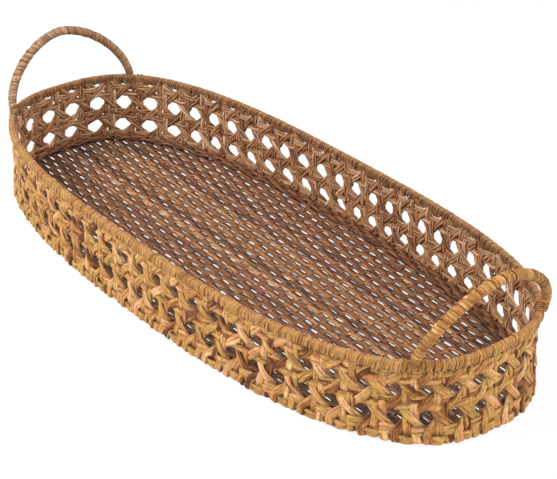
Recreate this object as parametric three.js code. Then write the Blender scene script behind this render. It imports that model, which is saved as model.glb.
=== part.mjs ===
// Woven oval tray: a stranded base, an open cane-work wall, a wrapped rim and two wrapped arch handles.
// Millimetres, +Z up, +X along the length. The origin is on the ground, under the middle of the base.

import * as THREE from 'three';

// Plan of the wall's outer face at its top: a superellipse, so the long sides are flatter than an ellipse's
const WALL_HALF_LENGTH = 303.2;
const WALL_HALF_WIDTH = 123.3;
const PLAN_EXPONENT = 2.8;

// How far the foot of the wall stands out past its top
const WALL_FLARE = 4.5;

// Cane-work of the wall: columns and rows of eight-sided holes between strand pairs
const COLUMNS = 60;
const HOLE_ROWS = 2;
const ROW_PITCH = 22.4;
const STRAND_WIDTH = 5.2;
const STRAND_THICKNESS = 1.3;
const PAIR_GAP = 1.0;
const LACING_WIDTH = 5.2;
const UPRIGHT_PAIRS_PER_STRAND = 5;

// Clearances
const LAYER_GAP = 0.3;
const LACING_CROSSING_GAP = 1.0;
const STRAND_END_GAP = 1.5;
const GROUND_CLEARANCE = 0.5;
const WRAP_CLEARANCE = 0.45;
const TURN_GAP = 0.8;
const STRAP_CLEARANCE = 0.5;

// Base
const BASE_HOOP_WIDTH = 6;
const BASE_HOOP_HEIGHT = 4;
const RIB_COUNT = 16;
const RIB_WIDTH = 4;
const RIB_THICKNESS = 2;
const RIB_END_INSET = 1.5;
const OUTER_RIB_INSET = 9;
const WEAVER_STRANDS = 10;
const ROWS_PER_WEAVER = 2;
const WEAVER_THICKNESS = 1.2;
const WEAVER_SLIT = 1.4;
const WEAVER_EDGE_INSET = 1.2;
const OUTER_ROW_INSET = 2.5;
const WEAVER_TURN_LEAD = 11;

// Rim
const RIM_HOOP_WIDTH = 4;
const RIM_HOOP_HEIGHT = 7;
const RIM_STATIONS = 96;
const RIM_WRAPS = 4;
const RIM_WRAP_THICKNESS = 1;
const RIM_WRAP_LOOPS = 24;

// Handles: an arch between two feet that stand on the rim, FOOT_COLUMNS columns from the end
const FOOT_COLUMNS = 2.97;
const HANDLE_RISE = 58;
const HANDLE_LEAN = THREE.MathUtils.degToRad(18);
const HANDLE_ARCH_EXPONENT = 1.72;
const HANDLE_ROD_WIDTH = 7.4;
const HANDLE_ROD_THICKNESS = 5;
const HANDLE_SIDES = 8;
const HANDLE_STATIONS = 24;
const HANDLE_WRAP_THICKNESS = 1;
const HANDLE_WRAP_LOOPS = 24;
const HANDLE_WRAP_END_INSET = 2;
const STRAP_WIDTH = 9;
const STRAP_THICKNESS = 1;
const STRAP_ARM_RISE = 5;

// Colours of the cane, from the honey of the wall to the brown of the base, and its dull sheen
const HONEY = 0xb98a4e;
const STRAW = 0xc39a5a;
const TAWNY = 0xa87743;
const CHESTNUT = 0x84603f;
const UMBER = 0x6d5039;
const CANE_ROUGHNESS = 0.6;

// Depths of the wall's four layers, counted inwards from its outer face
const LACING_UP_DEPTH = 0;
const LACING_DOWN_DEPTH = LACING_UP_DEPTH + STRAND_THICKNESS + LACING_CROSSING_GAP;
const WEAVER_DEPTH = LACING_DOWN_DEPTH + STRAND_THICKNESS + LAYER_GAP;
const UPRIGHT_DEPTH = WEAVER_DEPTH + STRAND_THICKNESS + LAYER_GAP;
const WALL_THICKNESS = UPRIGHT_DEPTH + STRAND_THICKNESS;

// Heights that follow from the strands and rows
const PAIR_OFFSET = (STRAND_WIDTH + PAIR_GAP) / 2;
const LOWEST_PAIR = GROUND_CLEARANCE + STRAND_WIDTH / 2 + PAIR_OFFSET;
const HIGHEST_PAIR = LOWEST_PAIR + HOLE_ROWS * ROW_PITCH;
const CANE_TOP = HIGHEST_PAIR + PAIR_OFFSET + STRAND_WIDTH / 2;
const RIM_BOTTOM = CANE_TOP + 2 * STRAP_CLEARANCE + STRAP_THICKNESS;
const RIM_HALF_HEIGHT = RIM_HOOP_HEIGHT / 2 + WRAP_CLEARANCE + RIM_WRAP_THICKNESS;
const RIM_HALF_WIDTH = RIM_HOOP_WIDTH / 2 + WRAP_CLEARANCE + RIM_WRAP_THICKNESS;
const RIM_MIDDLE = RIM_BOTTOM + RIM_HALF_HEIGHT;
const RIM_TOP = RIM_MIDDLE + RIM_HALF_HEIGHT;
const RIM_DEPTH = WALL_THICKNESS / 2;
const BASE_HOOP_DEPTH = WALL_THICKNESS + LAYER_GAP - flareAt(BASE_HOOP_HEIGHT);
const RIB_MIDDLE = BASE_HOOP_HEIGHT + LAYER_GAP + RIB_THICKNESS / 2;

// How far the wall stands out at a height, falling evenly to nothing under the rim
function flareAt(height) {
  return WALL_FLARE * (1 - height / RIM_BOTTOM);
}

// Plan curve, sampled once so that places on it can be given by length of arc
const PLAN_SAMPLES = 7200;

function planPoint(angle) {
  const power = 2 / PLAN_EXPONENT;
  const c = Math.cos(angle);
  const s = Math.sin(angle);
  const x = WALL_HALF_LENGTH * Math.sign(c) * Math.abs(c) ** power;
  const y = WALL_HALF_WIDTH * Math.sign(s) * Math.abs(s) ** power;
  return new THREE.Vector2(x, y);
}

function samplePlan() {
  const points = [];
  const lengths = [0];
  for (let i = 0; i <= PLAN_SAMPLES; i += 1) {
    points.push(planPoint((2 * Math.PI * i) / PLAN_SAMPLES));
    if (i > 0) {
      lengths.push(lengths[i - 1] + points[i].distanceTo(points[i - 1]));
    }
  }
  return { points, lengths, perimeter: lengths[PLAN_SAMPLES] };
}

const PLAN = samplePlan();
const COLUMN_PITCH = PLAN.perimeter / COLUMNS;

// Point of the plan curve a number of columns round from the +X end, moved inwards by a depth
function smoothPoint(columns, depth) {
  const turns = columns / COLUMNS;
  const target = (turns - Math.floor(turns)) * PLAN.perimeter;
  let low = 0;
  let high = PLAN_SAMPLES;
  while (high - low > 1) {
    const middle = (low + high) >> 1;
    if (PLAN.lengths[middle] <= target) {
      low = middle;
    } else {
      high = middle;
    }
  }
  const share = (target - PLAN.lengths[low]) / (PLAN.lengths[high] - PLAN.lengths[low]);
  const point = PLAN.points[low].clone().lerp(PLAN.points[high], share);
  const normal = new THREE.Vector2(
    (Math.sign(point.x) * Math.abs(point.x / WALL_HALF_LENGTH) ** (PLAN_EXPONENT - 1)) / WALL_HALF_LENGTH,
    (Math.sign(point.y) * Math.abs(point.y / WALL_HALF_WIDTH) ** (PLAN_EXPONENT - 1)) / WALL_HALF_WIDTH,
  ).normalize();
  return point.addScaledVector(normal, -depth);
}

// The wall bends only at its upright pairs, half a column from the holes, and is flat between them
function bendVectors() {
  const bends = [];
  for (let i = 0; i < COLUMNS; i += 1) {
    bends.push(smoothPoint(i + 0.5, 0));
  }
  return bends.map((bend, i) => {
    const before = bends[(i + COLUMNS - 1) % COLUMNS];
    const after = bends[(i + 1) % COLUMNS];
    const incoming = new THREE.Vector2(bend.y - before.y, before.x - bend.x).normalize();
    const outgoing = new THREE.Vector2(after.y - bend.y, bend.x - after.x).normalize();
    const mitre = incoming.clone().add(outgoing).divideScalar(1 + incoming.dot(outgoing));
    return { point: bend, mitre };
  });
}

const BENDS = bendVectors();

function bendPoint(index, depth) {
  const bend = BENDS[((index % COLUMNS) + COLUMNS) % COLUMNS];
  return bend.point.clone().addScaledVector(bend.mitre, -depth);
}

// Point of the bent wall, with a hole's middle at every whole number of columns
function wallPoint(columns, depth, height) {
  const facet = Math.floor(columns + 0.5);
  const share = columns + 0.5 - facet;
  const flared = depth - flareAt(height);
  const plan = bendPoint(facet - 1, flared).lerp(bendPoint(facet, flared), share);
  return new THREE.Vector3(plan.x, plan.y, height);
}

function rimPoint(columns, depth, height) {
  const plan = smoothPoint(columns, depth);
  return new THREE.Vector3(plan.x, plan.y, height);
}

// Closed body through rings that all have the same number of corners, with flat ends
function loft(rings) {
  const corners = rings[0].length;
  const positions = rings.flat().flatMap((p) => [p.x, p.y, p.z]);
  const faces = [];
  for (let r = 0; r + 1 < rings.length; r += 1) {
    for (let c = 0; c < corners; c += 1) {
      const a = r * corners + c;
      const b = r * corners + ((c + 1) % corners);
      faces.push(a, b, b + corners, a, b + corners, a + corners);
    }
  }
  const last = (rings.length - 1) * corners;
  for (let c = 1; c + 1 < corners; c += 1) {
    faces.push(0, c + 1, c);
    faces.push(last, last + c, last + c + 1);
  }
  if (signedVolume(positions, faces) < 0) {
    faces.reverse();
  }
  const geometry = new THREE.BufferGeometry();
  geometry.setAttribute('position', new THREE.Float32BufferAttribute(positions, 3));
  geometry.setIndex(faces);
  geometry.computeVertexNormals();
  return geometry;
}

function signedVolume(positions, faces) {
  const corner = (i) => new THREE.Vector3().fromArray(positions, 3 * faces[i]);
  let volume = 0;
  for (let i = 0; i < faces.length; i += 3) {
    volume += corner(i).dot(corner(i + 1).cross(corner(i + 2)));
  }
  return volume;
}

// Left and right edges of a flat strand along a path in its own plane, mitred at the path's corners
function strandEdges(path, width) {
  const normals = path.slice(1).map((point, i) => {
    const along = point.clone().sub(path[i]).normalize();
    return new THREE.Vector2(-along.y, along.x);
  });
  return path.map((point, i) => {
    const before = normals[Math.max(i - 1, 0)];
    const after = normals[Math.min(i, normals.length - 1)];
    const mitre = before.clone().add(after).multiplyScalar(width / 2 / (1 + before.dot(after)));
    return { left: point.clone().add(mitre), right: point.clone().sub(mitre) };
  });
}

function repeat(count, make) {
  return Array.from({ length: count }, (_, index) => make(index));
}

function named(name, geometry, color) {
  const material = new THREE.MeshStandardMaterial({ color, roughness: CANE_ROUGHNESS });
  const mesh = new THREE.Mesh(geometry, material);
  mesh.name = name;
  return mesh;
}

function numbered(stem, index) {
  return `${stem}_${String(index + 1).padStart(2, '0')}`;
}

// Flat ring between an outer and an inner outline, standing on a height
function hoop(outer, inner, bottom, height) {
  const shape = new THREE.Shape(outer);
  shape.holes.push(new THREE.Path(inner));
  const geometry = new THREE.ExtrudeGeometry(shape, { depth: height, bevelEnabled: false });
  geometry.translate(0, 0, bottom);
  return geometry;
}

function baseHoop() {
  const outline = (depth) => BENDS.map((bend, i) => bendPoint(i, depth));
  const outer = outline(BASE_HOOP_DEPTH);
  const inner = outline(BASE_HOOP_DEPTH + BASE_HOOP_WIDTH);
  return named('base_hoop', hoop(outer, inner, 0, BASE_HOOP_HEIGHT), CHESTNUT);
}

// Half extent of the plan, drawn in by a depth, on one axis at a place on the other
function halfExtent(along, across, depth, place) {
  const share = Math.min(Math.abs(place) / (across - depth), 1);
  return (along - depth) * (1 - share ** PLAN_EXPONENT) ** (1 / PLAN_EXPONENT);
}

const RIB_END_DEPTH = BASE_HOOP_DEPTH + RIB_END_INSET;
const RIB_REACH = WALL_HALF_LENGTH - RIB_END_DEPTH - OUTER_RIB_INSET;
const RIB_PITCH = (2 * RIB_REACH) / (RIB_COUNT - 1);
const RIB_PLACES = repeat(RIB_COUNT, (rib) => -RIB_REACH + rib * RIB_PITCH);

function baseRib(place, index) {
  const edge = Math.abs(place) + RIB_WIDTH / 2;
  const half = halfExtent(WALL_HALF_WIDTH, WALL_HALF_LENGTH, RIB_END_DEPTH, edge);
  const geometry = new THREE.BoxGeometry(RIB_WIDTH, 2 * half, RIB_THICKNESS);
  const rib = named(numbered('base_rib', index), geometry, UMBER);
  rib.position.set(place, 0, RIB_MIDDLE);
  return rib;
}

// Base weavers: rows along the tray that pass over and under the ribs by turns
const WEAVER_ROWS = WEAVER_STRANDS * ROWS_PER_WEAVER;
const WEAVER_END_DEPTH = BASE_HOOP_DEPTH + BASE_HOOP_WIDTH + WEAVER_EDGE_INSET;
const WEAVER_SPAN = 2 * (WALL_HALF_WIDTH - WEAVER_END_DEPTH - OUTER_ROW_INSET);
const WEAVER_PITCH = (WEAVER_SPAN + WEAVER_SLIT) / WEAVER_ROWS;
const WEAVER_WIDTH = WEAVER_PITCH - WEAVER_SLIT;
const WEAVER_STEEPNESS = Math.max(RIB_WIDTH / 2 / WEAVER_TURN_LEAD, RIB_WIDTH / RIB_PITCH);
const WEAVER_LIFT = ((RIB_THICKNESS + WEAVER_THICKNESS) / 2 + LAYER_GAP) / (1 - WEAVER_STEEPNESS);
const TURN_ROOM = (WEAVER_WIDTH + RIB_WIDTH) / 2 + LAYER_GAP;
const END_ROOM = RIB_WIDTH / 2 + LAYER_GAP;

function rowPlace(row) {
  return (row - (WEAVER_ROWS - 1) / 2) * WEAVER_PITCH;
}

// Furthest place along a row that is inside the hoop and clear of the ribs
function clearReach(row, endRoom, ribLead, ribRoom) {
  const edge = Math.abs(rowPlace(row)) + WEAVER_WIDTH / 2;
  const reach = halfExtent(WALL_HALF_LENGTH, WALL_HALF_WIDTH, WEAVER_END_DEPTH, edge) - endRoom;
  const inTheWay = RIB_PLACES.find((rib) => reach > rib - ribRoom && reach < rib + ribLead);
  return inTheWay === undefined ? reach : inTheWay - ribRoom;
}

function turnReach(row, nextRow) {
  const reachOf = (each) => clearReach(each, WEAVER_WIDTH / 2, WEAVER_TURN_LEAD, TURN_ROOM);
  return Math.min(reachOf(row), reachOf(nextRow));
}

function endReach(row) {
  return clearReach(row, 0, RIB_WIDTH, END_ROOM);
}

// Strand of several rows: level where it turns back, and as high as the last rib leaves it at its ends
function baseWeaver(strand) {
  const path = [];
  const heights = [];
  const visit = (x, y, lift) => {
    path.push(new THREE.Vector2(x, y));
    heights.push(RIB_MIDDLE + lift);
  };
  const first = strand * ROWS_PER_WEAVER;
  const last = first + ROWS_PER_WEAVER - 1;
  for (let row = first; row <= last; row += 1) {
    const sign = (row + strand) % 2 === 0 ? 1 : -1;
    const start = -sign * (row === first ? endReach(row) : turnReach(row, row - 1));
    const finish = sign * (row === last ? endReach(row) : turnReach(row, row + 1));
    const liftAt = (rib) => ((rib + row) % 2 === 0 ? WEAVER_LIFT : -WEAVER_LIFT);
    const low = Math.min(start, finish);
    const high = Math.max(start, finish);
    const inReach = (rib) => RIB_PLACES[rib] > low && RIB_PLACES[rib] < high;
    const ribs = repeat(RIB_COUNT, (rib) => (sign > 0 ? rib : RIB_COUNT - 1 - rib)).filter(inReach);
    visit(start, rowPlace(row), row === first ? liftAt(ribs[0]) : 0);
    ribs.forEach((rib) => visit(RIB_PLACES[rib], rowPlace(row), liftAt(rib)));
    visit(finish, rowPlace(row), row === last ? liftAt(ribs[ribs.length - 1]) : 0);
  }
  const rings = strandEdges(path, WEAVER_WIDTH).map(({ left, right }, i) => {
    const bottom = heights[i] - WEAVER_THICKNESS / 2;
    const top = heights[i] + WEAVER_THICKNESS / 2;
    return [
      new THREE.Vector3(left.x, left.y, bottom),
      new THREE.Vector3(right.x, right.y, bottom),
      new THREE.Vector3(right.x, right.y, top),
      new THREE.Vector3(left.x, left.y, top),
    ];
  });
  return named(numbered('base_weaver', strand), loft(rings), CHESTNUT);
}

// Section of a wall strand between two edges, from a depth inwards by the strand's thickness
function wallRing(edgeA, edgeB, depth) {
  return [
    wallPoint(edgeA.x / COLUMN_PITCH, depth, edgeA.y),
    wallPoint(edgeB.x / COLUMN_PITCH, depth, edgeB.y),
    wallPoint(edgeB.x / COLUMN_PITCH, depth + STRAND_THICKNESS, edgeB.y),
    wallPoint(edgeA.x / COLUMN_PITCH, depth + STRAND_THICKNESS, edgeA.y),
  ];
}

// Upright strand: up one side of a pair, over, down the other side, and along to the next pair
function wallUpright(strand) {
  const bottom = GROUND_CLEARANCE + STRAND_WIDTH / 2;
  const top = RIM_BOTTOM - LAYER_GAP - STRAND_WIDTH / 2;
  const first = strand * UPRIGHT_PAIRS_PER_STRAND;
  const path = [];
  for (let pair = first; pair < first + UPRIGHT_PAIRS_PER_STRAND; pair += 1) {
    const middle = (pair + 0.5) * COLUMN_PITCH;
    path.push(new THREE.Vector2(middle - PAIR_OFFSET, bottom));
    path.push(new THREE.Vector2(middle - PAIR_OFFSET, top));
    path.push(new THREE.Vector2(middle + PAIR_OFFSET, top));
    path.push(new THREE.Vector2(middle + PAIR_OFFSET, bottom));
  }
  path[0].y = GROUND_CLEARANCE;
  path[path.length - 1].y = GROUND_CLEARANCE;
  const edges = strandEdges(path, STRAND_WIDTH);
  const rings = edges.map(({ left, right }) => wallRing(left, right, UPRIGHT_DEPTH));
  return named(numbered('wall_upright', strand), loft(rings), TAWNY);
}

// Level strand: twice round the wall, climbing by one strand at the end of the first round
function wallWeaver(pair) {
  const height = LOWEST_PAIR + pair * ROW_PITCH;
  const rings = [];
  for (let bend = 0; bend < 2 * COLUMNS; bend += 1) {
    const middle = height + (bend < COLUMNS ? -PAIR_OFFSET : PAIR_OFFSET);
    const place = (bend + 0.5) * COLUMN_PITCH;
    const lower = new THREE.Vector2(place, middle - STRAND_WIDTH / 2);
    const upper = new THREE.Vector2(place, middle + STRAND_WIDTH / 2);
    rings.push(wallRing(lower, upper, WEAVER_DEPTH));
  }
  return named(numbered('wall_weaver', pair), loft(rings), STRAW);
}

// Lacing strand: zigzags round the wall, outside on the way up and one layer in on the way down,
// and crosses the others at the upright pairs, so that it bends where the wall does
function wallLacing(strand) {
  const climb = HIGHEST_PAIR - LOWEST_PAIR;
  const leg = HOLE_ROWS;
  const slope = climb / (leg * COLUMN_PITCH);
  const halfCut = (LACING_WIDTH / 2) * Math.hypot(1, slope);
  const turnDepth = (LACING_UP_DEPTH + LACING_DOWN_DEPTH) / 2;
  const rings = [];
  const visit = (columns, depth) => {
    const phase = (columns / leg) % 2;
    const middle = LOWEST_PAIR + climb * (phase < 1 ? phase : 2 - phase);
    const place = (strand + columns) * COLUMN_PITCH;
    const lower = new THREE.Vector2(place, middle - halfCut);
    const upper = new THREE.Vector2(place, middle + halfCut);
    rings.push(wallRing(lower, upper, depth));
  };
  const legs = COLUMNS / leg;
  for (let index = 0; index < legs; index += 1) {
    const depth = index % 2 === 0 ? LACING_UP_DEPTH : LACING_DOWN_DEPTH;
    visit(index * leg, turnDepth);
    for (let bend = 0; bend < leg; bend += 1) {
      visit(index * leg + bend + 0.5, depth);
    }
  }
  visit(COLUMNS - STRAND_END_GAP / COLUMN_PITCH, turnDepth);
  return named(numbered('wall_lacing', strand), loft(rings), HONEY);
}

function rimHoop() {
  const outline = (depth) => repeat(RIM_STATIONS, (i) => smoothPoint((i * COLUMNS) / RIM_STATIONS, depth));
  const outer = outline(RIM_DEPTH - RIM_HOOP_WIDTH / 2);
  const inner = outline(RIM_DEPTH + RIM_HOOP_WIDTH / 2);
  const bottom = RIM_MIDDLE - RIM_HOOP_HEIGHT / 2;
  return named('rim_hoop', hoop(outer, inner, bottom, RIM_HOOP_HEIGHT), TAWNY);
}

// Winding: rings of a strip that advances evenly along a core while it goes round it.
// place(along, corner, out) gives a point at a length along the core, at a corner of its section.
function winding(name, place, { start, loops, sides, pitch, clearance, thickness, color }) {
  const width = pitch - TURN_GAP;
  const rings = [];
  for (let step = 0; step <= loops * sides; step += 1) {
    const along = start + (step / sides) * pitch;
    const corner = step % sides;
    rings.push([
      place(along - width / 2, corner, clearance),
      place(along + width / 2, corner, clearance),
      place(along + width / 2, corner, clearance + thickness),
      place(along - width / 2, corner, clearance + thickness),
    ]);
  }
  console.log(`${name}: least gap between turns ${leastTurnGap(rings, sides).toFixed(2)} mm`);
  return named(name, loft(rings), color);
}

// Least distance between the leading edge of each turn and the trailing edge of the next one
function leastTurnGap(rings, sides) {
  const SAMPLES = 6;
  const edge = (corner) =>
    rings.slice(1).flatMap((ring, i) =>
      repeat(SAMPLES, (k) => rings[i][corner].clone().lerp(ring[corner], k / SAMPLES)),
    );
  const perTurn = sides * SAMPLES;
  const gapBetween = (leading, trailing) => {
    let least = Infinity;
    leading.forEach((point, i) => {
      const next = trailing.slice(i + perTurn / 2, i + (3 * perTurn) / 2);
      next.forEach((other) => {
        least = Math.min(least, point.distanceTo(other));
      });
    });
    return least;
  };
  return Math.min(gapBetween(edge(1), edge(0)), gapBetween(edge(2), edge(3)));
}

const RIM_CORNERS = [
  [-1, -1],
  [-1, 1],
  [1, 1],
  [1, -1],
];

function rimWrap(index) {
  const length = PLAN.perimeter / RIM_WRAPS;
  const pitch = length / (RIM_WRAP_LOOPS + 1);
  const place = (along, corner, out) => {
    const [inwards, upwards] = RIM_CORNERS[corner];
    const depth = RIM_DEPTH + inwards * (RIM_HOOP_WIDTH / 2 + out);
    const height = RIM_MIDDLE + upwards * (RIM_HOOP_HEIGHT / 2 + out);
    return rimPoint(along / COLUMN_PITCH, depth, height);
  };
  return winding(numbered('rim_wrap', index), place, {
    start: index * length + pitch / 2,
    loops: RIM_WRAP_LOOPS,
    sides: RIM_CORNERS.length,
    pitch,
    clearance: WRAP_CLEARANCE,
    thickness: RIM_WRAP_THICKNESS,
    color: STRAW,
  });
}

// Half size of the handle rod's eight-sided section, square to the rim at its foot
const FOOT_NORMAL = smoothPoint(FOOT_COLUMNS, -1).sub(smoothPoint(FOOT_COLUMNS, 0));
const FOOT_HALF = Math.hypot(
  (HANDLE_ROD_WIDTH / 2) * FOOT_NORMAL.x,
  (HANDLE_ROD_THICKNESS / 2) * FOOT_NORMAL.y,
);

// Middle line of a handle: a leaning arch from its front foot over to its back foot
function handleLine() {
  const foot = smoothPoint(FOOT_COLUMNS, RIM_DEPTH);
  const bottom = RIM_TOP + LAYER_GAP;
  const points = [];
  const power = 2 / HANDLE_ARCH_EXPONENT;
  for (let i = 0; i <= HANDLE_STATIONS; i += 1) {
    const angle = (Math.PI * i) / HANDLE_STATIONS;
    const c = -Math.cos(angle);
    const y = foot.y * Math.sign(c) * Math.abs(c) ** power;
    const rise = HANDLE_RISE * Math.abs(Math.sin(angle)) ** power;
    points.push(
      new THREE.Vector3(foot.x + rise * Math.sin(HANDLE_LEAN), y, bottom + rise * Math.cos(HANDLE_LEAN)),
    );
  }
  const lengths = [0];
  points.slice(1).forEach((point, i) => lengths.push(lengths[i] + point.distanceTo(points[i])));
  return { points, lengths };
}

const HANDLE = handleLine();

function handleTangent(index) {
  const before = HANDLE.points[Math.max(index - 1, 0)];
  const after = HANDLE.points[Math.min(index + 1, HANDLE.points.length - 1)];
  return after.clone().sub(before).normalize();
}

// Corner of the rod's section at a station of the middle line, moved out from its surface
function handleCorner(index, corner, out) {
  const tangent = handleTangent(index);
  const inner = new THREE.Vector3().crossVectors(tangent, new THREE.Vector3(1, 0, 0)).normalize();
  const side = new THREE.Vector3().crossVectors(inner, tangent);
  const angle = (2 * Math.PI * (corner + 0.5)) / HANDLE_SIDES;
  return HANDLE.points[index]
    .clone()
    .addScaledVector(side, (HANDLE_ROD_WIDTH / 2 + out) * Math.cos(angle))
    .addScaledVector(inner, (HANDLE_ROD_THICKNESS / 2 + out) * Math.sin(angle));
}

function handlePlace(along, corner, out) {
  const next = HANDLE.lengths.findIndex((length) => length > along);
  const share = (along - HANDLE.lengths[next - 1]) / (HANDLE.lengths[next] - HANDLE.lengths[next - 1]);
  return handleCorner(next - 1, corner, out).lerp(handleCorner(next, corner, out), share);
}

// Rod of a handle, with its feet cut level to stand on the rim
function handleRod(side) {
  const last = HANDLE.points.length - 1;
  const rings = HANDLE.points.map((point, index) =>
    repeat(HANDLE_SIDES, (corner) => {
      const place = handleCorner(index, corner, 0);
      return index % last === 0 ? place.setZ(point.z) : place;
    }),
  );
  return named(`handle_rod_${side}`, loft(rings), TAWNY);
}

function handleWrap(side) {
  const begin = STRAP_ARM_RISE / Math.cos(HANDLE_LEAN) + HANDLE_WRAP_END_INSET;
  const end = HANDLE.lengths[HANDLE.lengths.length - 1] - begin;
  const pitch = (end - begin) / (HANDLE_WRAP_LOOPS + 1);
  return winding(`handle_wrap_${side}`, handlePlace, {
    start: begin + pitch / 2,
    loops: HANDLE_WRAP_LOOPS,
    sides: HANDLE_SIDES,
    pitch,
    clearance: WRAP_CLEARANCE,
    thickness: HANDLE_WRAP_THICKNESS,
    color: STRAW,
  });
}

// Strap: down the inside of the handle's foot and the rim, under the rim and up the outside of both
function handleStrap(name, back) {
  const columns = back ? FOOT_COLUMNS : -FOOT_COLUMNS;
  const reach = Math.max(RIM_HALF_WIDTH, FOOT_HALF) + STRAP_CLEARANCE;
  const bottom = RIM_BOTTOM - STRAP_CLEARANCE;
  const lean = STRAP_ARM_RISE * Math.tan(HANDLE_LEAN) * FOOT_NORMAL.x;
  const armTop = RIM_TOP + STRAP_ARM_RISE;
  const corner = (depth, height, outwards, downwards) => {
    const middle = smoothPoint(columns, 0);
    const normal = smoothPoint(columns, -1).sub(middle);
    const across = new THREE.Vector2(-normal.y, normal.x);
    const at = (shift, thick) => {
      const plan = middle.clone().addScaledVector(normal, -depth + outwards * thick);
      plan.addScaledVector(across, shift);
      return new THREE.Vector3(plan.x, plan.y, height - downwards * thick);
    };
    const half = STRAP_WIDTH / 2;
    return [at(-half, 0), at(half, 0), at(half, STRAP_THICKNESS), at(-half, STRAP_THICKNESS)];
  };
  const rings = [
    corner(RIM_DEPTH + reach - lean, armTop, -1, 0),
    corner(RIM_DEPTH + reach, RIM_TOP, -1, 0),
    corner(RIM_DEPTH + reach, bottom, -1, 1),
    corner(RIM_DEPTH - reach, bottom, 1, 1),
    corner(RIM_DEPTH - reach, RIM_TOP, 1, 0),
    corner(RIM_DEPTH - reach - lean, armTop, 1, 0),
  ];
  return named(name, loft(rings), HONEY);
}

function handle(side, turn, frontName, backName) {
  const group = new THREE.Group();
  group.add(handleRod(side));
  group.add(handleWrap(side));
  group.add(handleStrap(`handle_strap_${side}_${frontName}`, false));
  group.add(handleStrap(`handle_strap_${side}_${backName}`, true));
  group.rotation.z = turn;
  return group;
}

const base = new THREE.Group();
base.add(baseHoop());
base.add(...RIB_PLACES.map(baseRib));
base.add(...repeat(WEAVER_STRANDS, baseWeaver));

const wall = new THREE.Group();
wall.add(...repeat(COLUMNS / UPRIGHT_PAIRS_PER_STRAND, wallUpright));
wall.add(...repeat(HOLE_ROWS + 1, wallWeaver));
wall.add(...repeat(2 * HOLE_ROWS, wallLacing));

const rim = new THREE.Group();
rim.add(rimHoop());
rim.add(...repeat(RIM_WRAPS, rimWrap));

const handles = new THREE.Group();
handles.add(handle('right', 0, 'front', 'back'));
handles.add(handle('left', Math.PI, 'back', 'front'));

const tray = new THREE.Group();
tray.add(base, wall, rim, handles);

export default tray;
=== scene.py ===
"""Looks of the woven oval tray: interlaced cane wall, woven base, wrapped rim and two wrapped handles."""

import logging
import math
from dataclasses import dataclass, field, replace
from enum import Enum

import bpy
import numpy as np
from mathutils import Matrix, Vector


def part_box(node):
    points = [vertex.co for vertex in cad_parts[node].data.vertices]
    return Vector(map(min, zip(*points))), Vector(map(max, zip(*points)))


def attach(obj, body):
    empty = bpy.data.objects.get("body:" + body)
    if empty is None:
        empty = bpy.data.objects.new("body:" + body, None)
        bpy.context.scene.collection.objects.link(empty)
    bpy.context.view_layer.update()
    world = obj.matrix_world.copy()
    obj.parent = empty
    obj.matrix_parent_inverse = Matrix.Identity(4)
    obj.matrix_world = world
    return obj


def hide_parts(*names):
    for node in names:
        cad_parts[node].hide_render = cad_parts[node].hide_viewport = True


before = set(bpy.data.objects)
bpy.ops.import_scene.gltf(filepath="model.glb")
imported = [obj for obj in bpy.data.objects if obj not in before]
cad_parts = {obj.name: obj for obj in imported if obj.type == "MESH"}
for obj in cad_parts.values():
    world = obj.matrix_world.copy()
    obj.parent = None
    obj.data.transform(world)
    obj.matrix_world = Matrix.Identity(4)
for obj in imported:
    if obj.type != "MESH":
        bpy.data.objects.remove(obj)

MM = 0.001
FULL_TURN = 2 * math.pi
UP = np.array([0.0, 0.0, 1.0])
BODY = "root"
LOG = logging.getLogger("tray")
Pair = tuple[float, float]
Values = np.ndarray | float
Socket = bpy.types.NodeSocket
Sockets = dict[str, Socket]


class Lean(Enum):
    """Way a slanting strand of the wall leans, as seen from outside."""

    RISING = 1
    FALLING = -1


class End(Enum):
    """End of the tray that a handle stands at."""

    RIGHT = 1
    LEFT = -1


class Slot(Enum):
    """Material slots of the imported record."""

    WALL = "wall_cane"
    BASE = "base_cane"
    BINDING = "binding_cane"
    ROD = "core_rod"


def linear(colour: int) -> tuple[float, float, float, float]:
    """Turns a screen colour into the light values that a shader takes.

    Args:
        colour: screen colour as 0xRRGGBB.

    Returns:
        Linear red, green, blue and full alpha.
    """
    channels = [((colour >> shift) & 255) / 255 for shift in (16, 8, 0)]
    light = [c / 12.92 if c <= 0.04045 else ((c + 0.055) / 1.055) ** 2.4 for c in channels]
    return (*light, 1.0)


def eased(places: np.ndarray, keys: np.ndarray, values: np.ndarray) -> np.ndarray:
    """Values that ease from key to key and lie level at each.

    Args:
        places: where values are wanted.
        keys: rising places of the keys.
        values: value at each key.

    Returns:
        One value for each place.
    """
    index = np.clip(np.searchsorted(keys, places, side="right") - 1, 0, len(keys) - 2)
    share = np.clip((places - keys[index]) / (keys[index + 1] - keys[index]), 0, 1)
    share = share * share * (3 - 2 * share)
    return values[index] + (values[index + 1] - values[index]) * share


def unit(vectors: np.ndarray) -> np.ndarray:
    """Vectors of the same direction and length 1."""
    return vectors / np.maximum(np.linalg.norm(vectors, axis=-1, keepdims=True), 1e-9)


def run_lengths(points: np.ndarray) -> np.ndarray:
    """Length of the way from the first point to each."""
    return np.concatenate([[0.0], np.cumsum(np.linalg.norm(np.diff(points, axis=0), axis=1))])


def powered(values: np.ndarray, power: float) -> np.ndarray:
    """Values raised to a power, with their signs kept."""
    return np.sign(values) * np.abs(values) ** power


def turn_angles(ends: Pair, count: int) -> np.ndarray:
    """Angles of one turn of a strip round a rod, from a quarter turn back.

    Args:
        ends: angles past that place where the turn starts and, less a full turn, ends.
        count: how many angles.

    Returns:
        Rising angles.
    """
    return np.linspace(ends[0], FULL_TURN + ends[1], count) - math.pi / 2


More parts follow.
